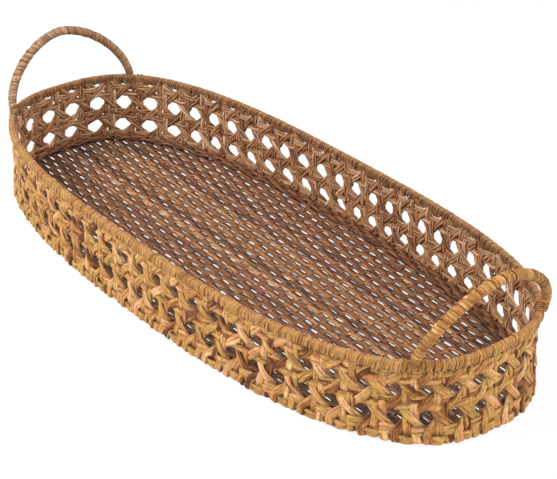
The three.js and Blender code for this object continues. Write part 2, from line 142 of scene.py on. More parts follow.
def placed(name: str, data: bpy.types.ID) -> bpy.types.Object:
    """Puts a mesh, a lamp or a camera into the scene.

    Args:
        name: the new object's name.
        data: what it shows.

    Returns:
        The new object.
    """
    thing = bpy.data.objects.new(name, data)
    bpy.context.scene.collection.objects.link(thing)
    return thing


class HandWork:
    """Seeded unevenness of strands laid by hand."""

    WAVES = (1.0, 1.7, 2.9)

    def __init__(self, seed: int) -> None:
        """Starts the run of chances from a fixed seed."""
        self.chance = np.random.default_rng(seed)

    def pick(self, low: float, high: float) -> float:
        """Even chance between two values."""
        return float(self.chance.uniform(low, high))

    def wander(self, lengths: np.ndarray, wavelength: float, size: float) -> np.ndarray:
        """Smooth drift along a strand.

        Args:
            lengths: places along the strand.
            wavelength: length of the longest wave.
            size: largest drift to either side.

        Returns:
            Drift at each place.
        """
        drift = np.zeros(len(lengths))
        for wave in self.WAVES:
            phase = self.pick(0, FULL_TURN)
            drift += np.sin(FULL_TURN * wave * lengths / wavelength + phase) / wave
        return drift * size / 2


class Bench:
    """Node tree under construction."""

    COLOUR_INPUTS = (0, 6, 7)
    COLOUR_OUTPUT = 2

    def __init__(self, tree: bpy.types.NodeTree) -> None:
        """Takes the tree that nodes are added to."""
        self.tree = tree

    def add(self, kind: str, **settings: object) -> bpy.types.Node:
        """Adds a node.

        Args:
            kind: node type.
            settings: node properties to set.

        Returns:
            The new node.
        """
        node = self.tree.nodes.new(kind)
        for name, value in settings.items():
            setattr(node, name, value)
        return node

    def join(self, source: Socket, target: Socket) -> None:
        """Links an output to an input."""
        self.tree.links.new(source, target)

    def after(self, source: Socket, kind: str, entry: str, **settings: object) -> bpy.types.Node:
        """Adds a node behind an output.

        Args:
            source: output that the new node takes.
            kind: node type.
            entry: name of the input that takes it.
            settings: node properties to set.

        Returns:
            The new node.
        """
        node = self.add(kind, **settings)
        self.join(source, node.inputs[entry])
        return node

    def feed(self, target: Socket, value: object) -> None:
        """Gives an input a link, when the value is a socket, or else a constant."""
        if isinstance(value, Socket):
            self.join(value, target)
        else:
            target.default_value = value

    def math(self, operation: str, *values: object, clamp: bool = False) -> Socket:
        """Result of a Math node.

        Args:
            operation: what to work out.
            values: sockets or numbers.
            clamp: whether to keep the result from 0 to 1.

        Returns:
            The result's socket.
        """
        node = self.add("ShaderNodeMath", operation=operation, use_clamp=clamp)
        for target, value in zip(node.inputs, values):
            self.feed(target, value)
        return node.outputs[0]

    def vector(self, x: object, y: object, z: object) -> Socket:
        """Vector made of three sockets or numbers."""
        node = self.add("ShaderNodeCombineXYZ")
        for target, value in zip(node.inputs, (x, y, z)):
            self.feed(target, value)
        return node.outputs[0]

    def blend(self, kind: str, share: object, first: object, second: object) -> Socket:
        """Colour mixed from two others.

        Args:
            kind: blend type.
            share: how much of the second colour, as a socket or number.
            first: colour or socket.
            second: colour or socket.

        Returns:
            The mixed colour's socket.
        """
        node = self.add("ShaderNodeMix", data_type="RGBA", blend_type=kind)
        for index, value in zip(self.COLOUR_INPUTS, (share, first, second)):
            self.feed(node.inputs[index], value)
        return node.outputs[self.COLOUR_OUTPUT]

    def ramp(self, place: Socket, colours: tuple[int, ...]) -> Socket:
        """Colour picked from an even row of screen colours.

        Args:
            place: socket from 0 to 1 along the row.
            colours: screen colours in order.

        Returns:
            The picked colour's socket.
        """
        node = self.add("ShaderNodeValToRGB")
        stops = node.color_ramp.elements
        while len(stops) < len(colours):
            stops.new(0.5)
        for index, colour in enumerate(colours):
            stops[index].position = index / (len(colours) - 1)
            stops[index].color = linear(colour)
        self.join(place, node.inputs[0])
        return node.outputs[0]

    def noise(self, place: Socket, scale: float, detail: float) -> Socket:
        """Cloudy noise at a place, from 0 to 1.

        Args:
            place: socket of the place.
            scale: how many clouds there are to a unit of length.
            detail: how much finer detail they have.

        Returns:
            The noise's socket.
        """
        node = self.after(place, "ShaderNodeTexNoise", "Vector")
        node.inputs["Scale"].default_value = scale
        node.inputs["Detail"].default_value = detail
        return node.outputs[0]

    def relief(self, shader: bpy.types.Node, height: Socket, strength: float, depth: float) -> None:
        """Gives a shader a relief.

        Args:
            shader: the shader.
            height: socket of the relief's height, from 0 to 1.
            strength: how strongly it shows.
            depth: its full depth in millimetres.
        """
        node = self.after(height, "ShaderNodeBump", "Height")
        node.inputs["Strength"].default_value = strength
        node.inputs["Distance"].default_value = depth * MM
        self.join(node.outputs[0], shader.inputs["Normal"])


def blank_material(name: str) -> tuple[bpy.types.Material, Bench, bpy.types.Node]:
    """Makes a material that has its shader and nothing else.

    Args:
        name: the material's name.

    Returns:
        The material, the bench for its nodes and its shader.
    """
    material = bpy.data.materials.new(name)
    material.use_nodes = True
    return material, Bench(material.node_tree), material.node_tree.nodes["Principled BSDF"]


@dataclass(frozen=True)
class CaneFinish:
    """Look of a strand: its colours on both faces, its fibres and its sheen.

    The strand's mesh carries its own shade, its length, its section and how far it dips under others,
    which sets where the finish paints shade and highlights.

    Attributes:
        outer: row of colours of the outer face, from dark to light.
        inner: row of colours of the inner face.
        strand_apart: how differently two strands are marked.
        patch_length: length of the patches of colour, in millimetres.
        patch_spread: how far patches stray along the row of colours.
        fibres_across: how many fibres lie across half the strand.
        fibre_depth: how much the fibres change the light.
        fibre_even: share of that depth that lies on the dark side.
        spot_depth: how much the spots change the light.
        casts: tints that stray along the strand.
        cast_scale: how short the strays of tint are.
        stretch: gain and offset that spread fibres and tints over their full range.
        face_sharpness: how sharp the line between the two faces is.
        under_painted_shade: how much painted shade the strand has where it dips under others.
        over_painted_highlight: how much painted highlight it has where it lies over others.
        edge_painted_shade: how much painted shade its edges have.
        edge_power: how narrow that painted shade at the edges is.
        inner_softness: how much less of both painted shades the inner face has.
        roughness: how dull the strand is in the mean.
        rough_spread: how much that changes from fibre to fibre.
    """

    name: str
    outer: tuple[int, ...]
    inner: tuple[int, ...]
    strand_apart: float = 97.0
    patch_length: float = 13.0
    patch_spread: float = 1.1
    fibre_length: float = 14.0
    fibres_across: float = 3.0
    fibre_depth: float = 0.55
    fibre_even: float = 0.6
    fibre_detail: float = 3.0
    spot_length: float = 2.4
    spot_depth: float = 1.1
    cloud_detail: float = 2.0
    casts: tuple[int, ...] = (0xFFE4D8, 0xFFFCFA, 0xF6FCDE)
    cast_scale: float = 0.7
    stretch: Pair = (3.0, -1.0)
    face_sharpness: float = 2.5
    under_painted_shade: float = 0.9
    over_painted_highlight: float = 0.15
    edge_painted_shade: float = 0.75
    edge_power: float = 4.0
    inner_softness: float = 0.55
    sheen: float = 0.3
    roughness: float = 0.55
    rough_spread: float = 0.25
    bump: float = 0.4
    bump_height: float = 0.35

    def _read(self, bench: Bench) -> Sockets:
        """What the strand's mesh carries.

        Args:
            bench: bench of the material.

        Returns:
            Sockets by name, with the section parted into its two sides.
        """
        read = {
            name: bench.add("ShaderNodeAttribute", attribute_name=name).outputs["Fac"]
            for name in ("shade", "along", "dip", "tint")
        }
        section = bench.add("ShaderNodeAttribute", attribute_name="section").outputs["Vector"]
        parted = bench.after(section, "ShaderNodeSeparateXYZ", "Vector")
        read["side"], read["across"] = parted.outputs[0], parted.outputs[1]
        read["strand"] = bench.math("MULTIPLY", read["shade"], self.strand_apart)
        return read

    @staticmethod
    def _place(bench: Bench, read: Sockets, length: float, lines: float = 1.0) -> Socket:
        """Place in a noise that is drawn out along the strand.

        Args:
            bench: bench of the material.
            read: what the strand's mesh carries.
            length: length of the marks, in millimetres.
            lines: how many marks lie across half the strand.

        Returns:
            The place's socket.
        """
        run = bench.math("DIVIDE", read["along"], length * MM)
        return bench.vector(run, bench.math("MULTIPLY", read["across"], lines), read["strand"])

    def _paint(self, bench: Bench, read: Sockets, turned: Socket, fibre_place: Socket) -> Socket:
        """Colour of the strand before its fibres, spots, painted shade and painted highlights.

        Args:
            bench: bench of the material.
            read: what the strand's mesh carries.
            turned: how much of the inner colours shows.
            fibre_place: place in the noise of the fibres.

        Returns:
            The colour's socket.
        """
        clouds = bench.noise(self._place(bench, read, self.patch_length), 1.0, self.cloud_detail)
        patch = bench.math("SUBTRACT", clouds, 0.5)
        tone = bench.math("MULTIPLY_ADD", patch, self.patch_spread, read["shade"], clamp=True)
        paint = bench.blend("MIX", turned, bench.ramp(tone, self.outer), bench.ramp(tone, self.inner))
        stray = bench.noise(fibre_place, self.cast_scale, 1.0)
        cast = bench.math("MULTIPLY_ADD", stray, *self.stretch, clamp=True)
        return bench.blend("MULTIPLY", 1.0, paint, bench.ramp(cast, self.casts))

    def _marks_and_painted_light(self, bench: Bench, read: Sockets, turned: Socket, fibre: Socket) -> Socket:
        """Fibres and spots of the strand, with painted shade where it dips under others and at its edges,
        and a painted highlight where it lies over others.

        Args:
            bench: bench of the material.
            read: what the strand's mesh carries.
            turned: how much of the inner colours shows.
            fibre: noise of the fibres.

        Returns:
            Socket of the light that the colour is multiplied by.
        """
        streak = bench.math("MULTIPLY_ADD", fibre, *self.stretch, clamp=True)
        streak_rest = 1 - self.fibre_depth * self.fibre_even
        streak_light = bench.math("MULTIPLY_ADD", streak, self.fibre_depth, streak_rest)
        spot = bench.noise(self._place(bench, read, self.spot_length), 1.0, self.cloud_detail)
        spot_light = bench.math("MULTIPLY_ADD", spot, self.spot_depth, 1 - self.spot_depth / 2)
        # Painted shade where the strand dips under others, painted highlight where it lies over them.
        sunk = bench.math("MULTIPLY", read["side"], read["dip"])
        firm = bench.math("MULTIPLY_ADD", turned, -self.inner_softness, 1.0)
        hidden_depth = bench.math("MULTIPLY", firm, -self.under_painted_shade)
        hidden = bench.math("MULTIPLY_ADD", bench.math("MAXIMUM", sunk, 0.0), hidden_depth, 1.0)
        raised = bench.math("MINIMUM", sunk, 0.0)
        hidden_light = bench.math("MULTIPLY_ADD", raised, -self.over_painted_highlight, hidden)
        # Painted shade along the strand's edges, where strands meet.
        edge = bench.math("POWER", bench.math("ABSOLUTE", read["across"]), self.edge_power)
        edge_depth = bench.math("MULTIPLY", firm, -self.edge_painted_shade)
        edge_light = bench.math("MULTIPLY_ADD", edge, edge_depth, 1.0)
        light = bench.math("MULTIPLY", bench.math("MULTIPLY", streak_light, hidden_light), edge_light)
        return bench.math("MULTIPLY", light, spot_light)

    def material(self) -> bpy.types.Material:
        """Builds the strand's material.

        Returns:
            Material that reads the strand's own attributes.
        """
        material, bench, shader = blank_material(self.name)
        read = self._read(bench)
        fibre_place = self._place(bench, read, self.fibre_length, self.fibres_across)
        fibre = bench.noise(fibre_place, 1.0, self.fibre_detail)
        turned = bench.math("MULTIPLY_ADD", read["side"], -self.face_sharpness, 0.5, clamp=True)
        turned = bench.math("MAXIMUM", turned, read["tint"])
        paint = self._paint(bench, read, turned, fibre_place)
        # Fibres, spots, painted shade and painted highlights multiply the colour.
        light = self._marks_and_painted_light(bench, read, turned, fibre)
        paint = bench.blend("MULTIPLY", 1.0, paint, bench.vector(light, light, light))
        bench.join(paint, shader.inputs["Base Color"])
        shader.inputs["Specular IOR Level"].default_value = self.sheen
        dullest = self.roughness + self.rough_spread / 2
        rough = bench.math("MULTIPLY_ADD", fibre, -self.rough_spread, dullest)
        bench.join(rough, shader.inputs["Roughness"])
        bench.relief(shader, fibre, self.bump, self.bump_height)
        return material


@dataclass(frozen=True)
class RodFinish:
    """Look of a bare rod: dull brown with fine streaks.

    Attributes:
        colours: row of colours, from dark to light.
        streaks: how many streaks there are to a metre.
        roughness: how dull the rod is.
    """

    name: str
    colours: tuple[int, ...]
    streaks: float = 220.0
    detail: float = 4.0
    roughness: float = 0.65
    bump: float = 0.25
    bump_height: float = 0.3

    def material(self) -> bpy.types.Material:
        """Builds the rod's material.

        Returns:
            Material on the rod's own coordinates.
        """
        material, bench, shader = blank_material(self.name)
        place = bench.add("ShaderNodeTexCoord").outputs["Object"]
        streak = bench.noise(place, self.streaks, self.detail)
        bench.join(bench.ramp(streak, self.colours), shader.inputs["Base Color"])
        shader.inputs["Roughness"].default_value = self.roughness
        bench.relief(shader, streak, self.bump, self.bump_height)
        return material


WALL_FINISH = CaneFinish(
    name="honey_wall_cane",
    outer=(0x5C3012, 0x986230, 0xBE8C50, 0xB28E4A, 0xC88E5E, 0xD6AC7C),
    inner=(0x80563E, 0xA07052, 0xB68866, 0xAC865E, 0xC09274, 0xDAB698),
)
# The base's inner colours show on its underside and as the painted shade and shadow near the walls; its
# dips and edges have strong painted shade.
BASE_FINISH = CaneFinish(
    name="dark_base_cane_with_painted_shade",
    outer=(0x32180A, 0x663A20, 0x8C5A3A, 0x80522E, 0xA47048, 0xCA986C),
    inner=(0x22110A, 0x462A1A, 0x5E3D28, 0x543820, 0x6E4A30, 0x92704E),
    under_painted_shade=0.85,
    over_painted_highlight=0.0,
    patch_length=9.0,
    fibre_depth=0.7,
    spot_depth=1.7,
    edge_painted_shade=0.85,
    inner_softness=0.0,
)
# The rim's finish paints a strong highlight where its strips are marked with a negative dip, and light
# painted shade at the strips' edges.
RIM_FINISH = replace(
    WALL_FINISH,
    name="rim_wrapping_cane",
    inner=(0x5E3C26, 0x805638, 0x966A48, 0x8A6842, 0xA07656, 0xB8926E),
    edge_painted_shade=0.22,
    over_painted_highlight=1.1,
)
GOLDEN_CANE = (0x6A4020, 0x96642E, 0xB28046, 0xA67C3A, 0xC8945C, 0xE4BA84)
TAN_CANE = (0x7C583E, 0x987054, 0xAA8668, 0xA07C5C, 0xB68E74, 0xCEAE98)
HANDLE_FINISHES = {
    End.RIGHT: CaneFinish("golden_handle_cane", outer=GOLDEN_CANE, inner=GOLDEN_CANE, edge_painted_shade=0.3),
    End.LEFT: CaneFinish("tan_handle_cane", outer=TAN_CANE, inner=TAN_CANE, edge_painted_shade=0.3),
}
ROD_FINISH = RodFinish(name="bare_rattan_rod", colours=(0x5C4026, 0x7C5832, 0x9A7444))

# The lath and the rods get painted shade: they are dark because they lie under the strips and only slits
# show them.
CORE_DIP = 0.6
CORE_SHADE = 0.2
CORE_CORNERS = 12

# Where the wrapping and the handles lie against the CAD rim and rods, in millimetres.
RIM_RAISED = 2.4
RIM_INSET = 1.6
RIM_HALF_WIDTH = 3.1
FEET_CLOSER = 0.5
ARCH_LOWER = 2.5
FOOT_DROPS = {End.RIGHT: 4.5, End.LEFT: 9.0}
FOOT_INSETS = {End.RIGHT: 0.3, End.LEFT: 2.8}


@dataclass
class Strand:
    """One strand: its middle line, the way its outer face looks, its width and its shade.

    Attributes:
        points: middle line in millimetres.
        facing: direction that the outer face looks in, at each point.
        girth: share of the full section, at each point or for all.
        dip: how far the strand lies under others, from -1 (over) to 1 (under), at each point or for all;
            it sets the painted shade and painted highlight.
        shade: place in the finish's row of colours, from 0 to 1.
        tint: how much of the inner colours the outer face has, from 0 to 1, at each point or for all.
    """

    points: np.ndarray
    facing: np.ndarray
    girth: Values
    dip: Values
    shade: float
    tint: Values = 0.0

    @classmethod
    def laid(
        cls,
        points: np.ndarray,
        facing: np.ndarray,
        girth: Values,
        dip: Values,
        shade: float,
        twist: Values,
        tint: Values = 0.0,
    ) -> "Strand":
        """Strand whose outer face is made square to its line and turned about it.

        Args:
            points: middle line in millimetres.
            facing: direction that the outer face should look in.
            girth: share of the full section.
            dip: how far the strand lies under others.
            shade: place in the finish's row of colours.
            twist: turn about the line, in radians.
            tint: how much of the inner colours the outer face has.

        Returns:
            The strand.
        """
        tangent = unit(np.gradient(points, axis=0))
        flat = unit(facing - tangent * np.sum(facing * tangent, axis=1, keepdims=True))
        other = np.cross(tangent, flat)
        turn = np.full(len(points), twist)
        squared = flat * np.cos(turn)[:, None] + other * np.sin(turn)[:, None]
        return cls(points, squared, girth, dip, shade, tint)

    def keep_over_ground(self, width: float, thickness: float) -> None:
        """Lifts the line where the section would reach below the ground.

        Args:
            width: width of the full section, in millimetres.
            thickness: thickness of the full section, in millimetres.
        """
        across = np.cross(unit(np.gradient(self.points, axis=0)), self.facing)
        reach = width * np.abs(across[:, 2]) + thickness * np.abs(self.facing[:, 2])
        self.points[:, 2] = np.maximum(self.points[:, 2], self.girth / 2 * reach)


@dataclass(frozen=True)
class Section:
    """Section of a piece's strands, and what they are finished with.

    Attributes:
        width: full width in millimetres.
        thickness: full thickness in millimetres.
        corners: corners of the section.
        finish: material of the strands.
    """

    width: float
    thickness: float
    corners: int
    finish: bpy.types.Material


class StrandSweep:
    """Geometry Nodes tree that sweeps a flat rounded section along strand lines."""

    INPUTS = {
        "Lines": "NodeSocketGeometry",
        "Width": "NodeSocketFloat",
        "Thickness": "NodeSocketFloat",
        "Corners": "NodeSocketInt",
        "Finish": "NodeSocketMaterial",
    }

    def __init__(self) -> None:
        """Builds the tree once, for all kinds of strand."""
        self.tree = bpy.data.node_groups.new("strand_sweep", "GeometryNodeTree")
        self.sockets = {name: self._input(name, kind) for name, kind in self.INPUTS.items()}
        self.tree.interface.new_socket("Strands", in_out="OUTPUT", socket_type="NodeSocketGeometry")
        self._build()

    def _input(self, name: str, kind: str) -> str:
        """Adds a named input and gives its identifier."""
        return self.tree.interface.new_socket(name, in_out="INPUT", socket_type=kind).identifier

    @staticmethod
    def _carried(bench: Bench, name: str, kind: str) -> Socket:
        """Value that the lines carry under a name.

        Args:
            bench: bench of the tree.
            name: the value's name.
            kind: its data type.

        Returns:
            The value's socket.
        """
        node = bench.add("GeometryNodeInputNamedAttribute", data_type=kind)
        node.inputs["Name"].default_value = name
        return node.outputs["Attribute"]

    def _build(self) -> None:
        """Adds the nodes: lines to curves, section along them, then the finish."""
        bench = Bench(self.tree)
        sizes = bench.add("NodeGroupInput").outputs
        lines = bench.after(sizes["Lines"], "GeometryNodeMeshToCurve", "Mesh")
        turned = bench.after(lines.outputs["Curve"], "GeometryNodeSetCurveNormal", "Curve", mode="FREE")
        bench.join(self._carried(bench, "facing", "FLOAT_VECTOR"), turned.inputs["Normal"])

        circle = bench.after(sizes["Corners"], "GeometryNodeCurvePrimitiveCircle", "Resolution")
        circle.inputs["Radius"].default_value = 1.0
        store = {"data_type": "FLOAT_VECTOR", "domain": "POINT"}
        kept = bench.after(circle.outputs["Curve"], "GeometryNodeStoreNamedAttribute", "Geometry", **store)
        kept.inputs["Name"].default_value = "section"
        bench.join(bench.add("GeometryNodeInputPosition").outputs[0], kept.inputs["Value"])
        flat = bench.after(kept.outputs["Geometry"], "GeometryNodeTransform", "Geometry")
        half = [bench.math("MULTIPLY", sizes[name], 0.5) for name in ("Thickness", "Width")]
        bench.join(bench.vector(*half, 1.0), flat.inputs["Scale"])

        swept = bench.after(turned.outputs["Curve"], "GeometryNodeCurveToMesh", "Curve")
        swept.inputs["Fill Caps"].default_value = True
        bench.join(flat.outputs["Geometry"], swept.inputs["Profile Curve"])
        bench.join(self._carried(bench, "girth", "FLOAT"), swept.inputs["Scale"])
        smooth = bench.after(swept.outputs["Mesh"], "GeometryNodeSetShadeSmooth", "Geometry")
        real = bench.after(smooth.outputs["Geometry"], "GeometryNodeRealizeInstances", "Geometry")
        dressed = bench.after(real.outputs["Geometry"], "GeometryNodeSetMaterial", "Geometry")
        bench.join(sizes["Finish"], dressed.inputs["Material"])
        bench.join(dressed.outputs["Geometry"], bench.add("NodeGroupOutput").inputs["Strands"])

    @staticmethod
    def _lines(name: str, strands: list[Strand]) -> bpy.types.Mesh:
        """Mesh of the strands' middle lines, with what the sweep and the finish read.

        Args:
            name: name of the mesh.
            strands: strands of one piece.

        Returns:
            Mesh of edges alone.
        """
        mesh = bpy.data.meshes.new(name)
        points = np.concatenate([s.points for s in strands]) * MM
        ends = np.cumsum([len(s.points) for s in strands])
        starts = np.arange(len(points) - 1)
        starts = starts[~np.isin(starts + 1, ends)]
        mesh.from_pydata(points.tolist(), np.stack([starts, starts + 1], axis=1).tolist(), [])
        facing = np.concatenate([s.facing for s in strands]).astype(np.float32)
        mesh.attributes.new("facing", "FLOAT_VECTOR", "POINT").data.foreach_set("vector", facing.ravel())
        values = {
            "girth": [s.girth for s in strands],
            "dip": [s.dip for s in strands],
            "along": [run_lengths(s.points) * MM for s in strands],
            "shade": [s.shade for s in strands],
            "tint": [s.tint for s in strands],
        }
        for label, rows in values.items():
            spread = [np.broadcast_to(row, len(s.points)) for row, s in zip(rows, strands)]
            attribute = mesh.attributes.new(label, "FLOAT", "POINT")
            attribute.data.foreach_set("value", np.concatenate(spread).astype(np.float32))
        return mesh

    def piece(self, name: str, strands: list[Strand], section: Section) -> bpy.types.Object:
        """Makes one piece of many strands.

        Args:
            name: the piece's name.
            strands: its strands.
            section: their section and finish.

        Returns:
            Object with a plain mesh.
        """
        carrier = placed(f"{name}_lines", self._lines(f"{name}_lines", strands))
        modifier = carrier.modifiers.new("sweep", "NODES")
        modifier.node_group = self.tree
        modifier[self.sockets["Width"]] = section.width * MM
        modifier[self.sockets["Thickness"]] = section.thickness * MM
        modifier[self.sockets["Corners"]] = section.corners
        modifier[self.sockets["Finish"]] = section.finish
        graph = bpy.context.evaluated_depsgraph_get()
        mesh = bpy.data.meshes.new_from_object(carrier.evaluated_get(graph))
        mesh.name = name
        bpy.data.objects.remove(carrier)
        LOG.info("%s: %d strands, %d faces", name, len(strands), len(mesh.polygons))
        return placed(name, mesh)


def seat(piece: bpy.types.Object, nodes: list[str]) -> None:
    """Puts a finished piece on the tray in place of its CAD nodes.

    Args:
        piece: the finished piece.
        nodes: CAD nodes that it stands for.
    """
    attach(piece, BODY)
    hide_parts(*nodes)


def nodes_named(stem: str) -> list[str]:
    """CAD nodes whose names start with a stem, in order."""
    return sorted(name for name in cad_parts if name.startswith(stem))


def corner_mm(node: str) -> tuple[np.ndarray, np.ndarray]:
    """Lowest and highest corner of a CAD node, in millimetres."""
    low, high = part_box(node)
    return np.array(low) / MM, np.array(high) / MM


@dataclass
class OvalPlan:
    """Plan of the tray: a superellipse at the rim that swells to a rounder one at the ground.

    Attributes:
        half_length: half length at the rim's outer face.
        half_width: half width there.
        rim_top: height of the rim's top, where the swelling is nothing.
        exponent: how square the oval is at the rim.
        foot_exponent: how square it is at the ground.
        flare_length: how much further out the ends are at the ground.
        flare_width: how much further out the sides are at the ground.
        flare_curve: how late on the way down the wall swells.
        foot_shift: how far the middle of the ground's oval lies from the rim's, along X and Y.
        end_pull: how far the rim's -X end is drawn in.
        saddle: how much higher the rim is at the ends than along the sides.
        samples: steps that the rim's length is measured in.
    """

    half_length: float
    half_width: float
    rim_top: float
    exponent: float = 2.8
    foot_exponent: float = 2.55
    flare_length: float = 6.2
    flare_width: float = 4.7
    flare_curve: float = 3.0
    foot_shift: Pair = (5.6, -4.2)
    end_pull: float = 4.0
    saddle: float = 2.4
    samples: int = 14400

    def __post_init__(self) -> None:
        """Measures the rim's length."""
        self.angles = np.linspace(0, FULL_TURN, self.samples + 1)
        self.lengths = run_lengths(self._rim(self.angles))
        self.perimeter = float(self.lengths[-1])

    @staticmethod
    def _oval(angles: np.ndarray, half_length: float, half_width: float, exponent: float) -> np.ndarray:
        """Points of a superellipse at angles of its formula.

        Args:
            angles: angles of the formula.
            half_length: half its length.
            half_width: half its width.
            exponent: how square it is.

        Returns:
            Points in plan.
        """
        x = half_length * powered(np.cos(angles), 2 / exponent)
        y = half_width * powered(np.sin(angles), 2 / exponent)
        return np.stack([x, y], axis=-1)

    def _rim(self, angles: np.ndarray) -> np.ndarray:
        """Points of the rim's oval, with its -X end drawn in."""
        oval = self._oval(angles, self.half_length, self.half_width, self.exponent)
        oval[:, 0] += self.end_pull * np.clip(-oval[:, 0] / self.half_length, 0, 1) ** 2
        return oval

    def _foot(self, angles: np.ndarray) -> np.ndarray:
        """Points of the oval at the ground."""
        length, width = self.half_length + self.flare_length, self.half_width + self.flare_width
        return self._oval(angles, length, width, self.foot_exponent) + np.array(self.foot_shift)

    def _angle(self, turns: np.ndarray) -> np.ndarray:
        """Angles of the formula at shares of the way round."""
        return np.interp(np.mod(turns, 1.0) * self.perimeter, self.lengths, self.angles)

    def outward(self, turns: np.ndarray) -> np.ndarray:
        """Direction out of the wall at shares of the way round.

        Args:
            turns: shares of the way round from the +X end.

        Returns:
            Level directions of length 1.
        """
        halves = np.array([self.half_length, self.half_width])
        slope = powered(self._rim(self._angle(turns)) / halves, self.exponent - 1)
        normal = slope / halves
        return unit(np.concatenate([normal, np.zeros((len(normal), 1))], axis=1))

    def points(self, turns: np.ndarray, depth: Values, height: np.ndarray) -> np.ndarray:
        """Points in the wall.

        Args:
            turns: shares of the way round from the +X end.
            depth: depths inwards from the rim's outer face, or one for all.
            height: heights over the ground, before the rim's saddle.

        Returns:
            Points in millimetres.
        """
        angles = self._angle(turns)
        rim, foot = self._rim(angles), self._foot(angles)
        swell = np.clip(1 - height / self.rim_top, 0, 1) ** self.flare_curve
        plan = rim + (foot - rim) * swell[:, None]
        # Half the saddle is added at the ends and half is taken from the sides.
        lift = self.saddle / self.rim_top * ((rim[:, 0] / self.half_length) ** 2 - 0.5)
        lifted = np.concatenate([plan, (height * (1 + lift))[:, None]], axis=1)
        return lifted - self.outward(turns) * np.asarray(depth)[..., None]

    def reach(self, place: Values, depth: float, across: bool) -> Values:
        """Half extent of the ground's oval, drawn in by a depth, at a place on the other axis.

        Args:
            place: distance from the middle on the other axis.
            depth: how far the oval is drawn in.
            across: True for the extent along Y at a place along X, False the other way round.

        Returns:
            Half extent in millimetres.
        """
        length = self.half_length + self.flare_length - depth
        width = self.half_width + self.flare_width - depth
        along, other = (width, length) if across else (length, width)
        share = np.minimum(np.abs(place) / other, 1.0)
        return along * (1 - share**self.foot_exponent) ** (1 / self.foot_exponent)


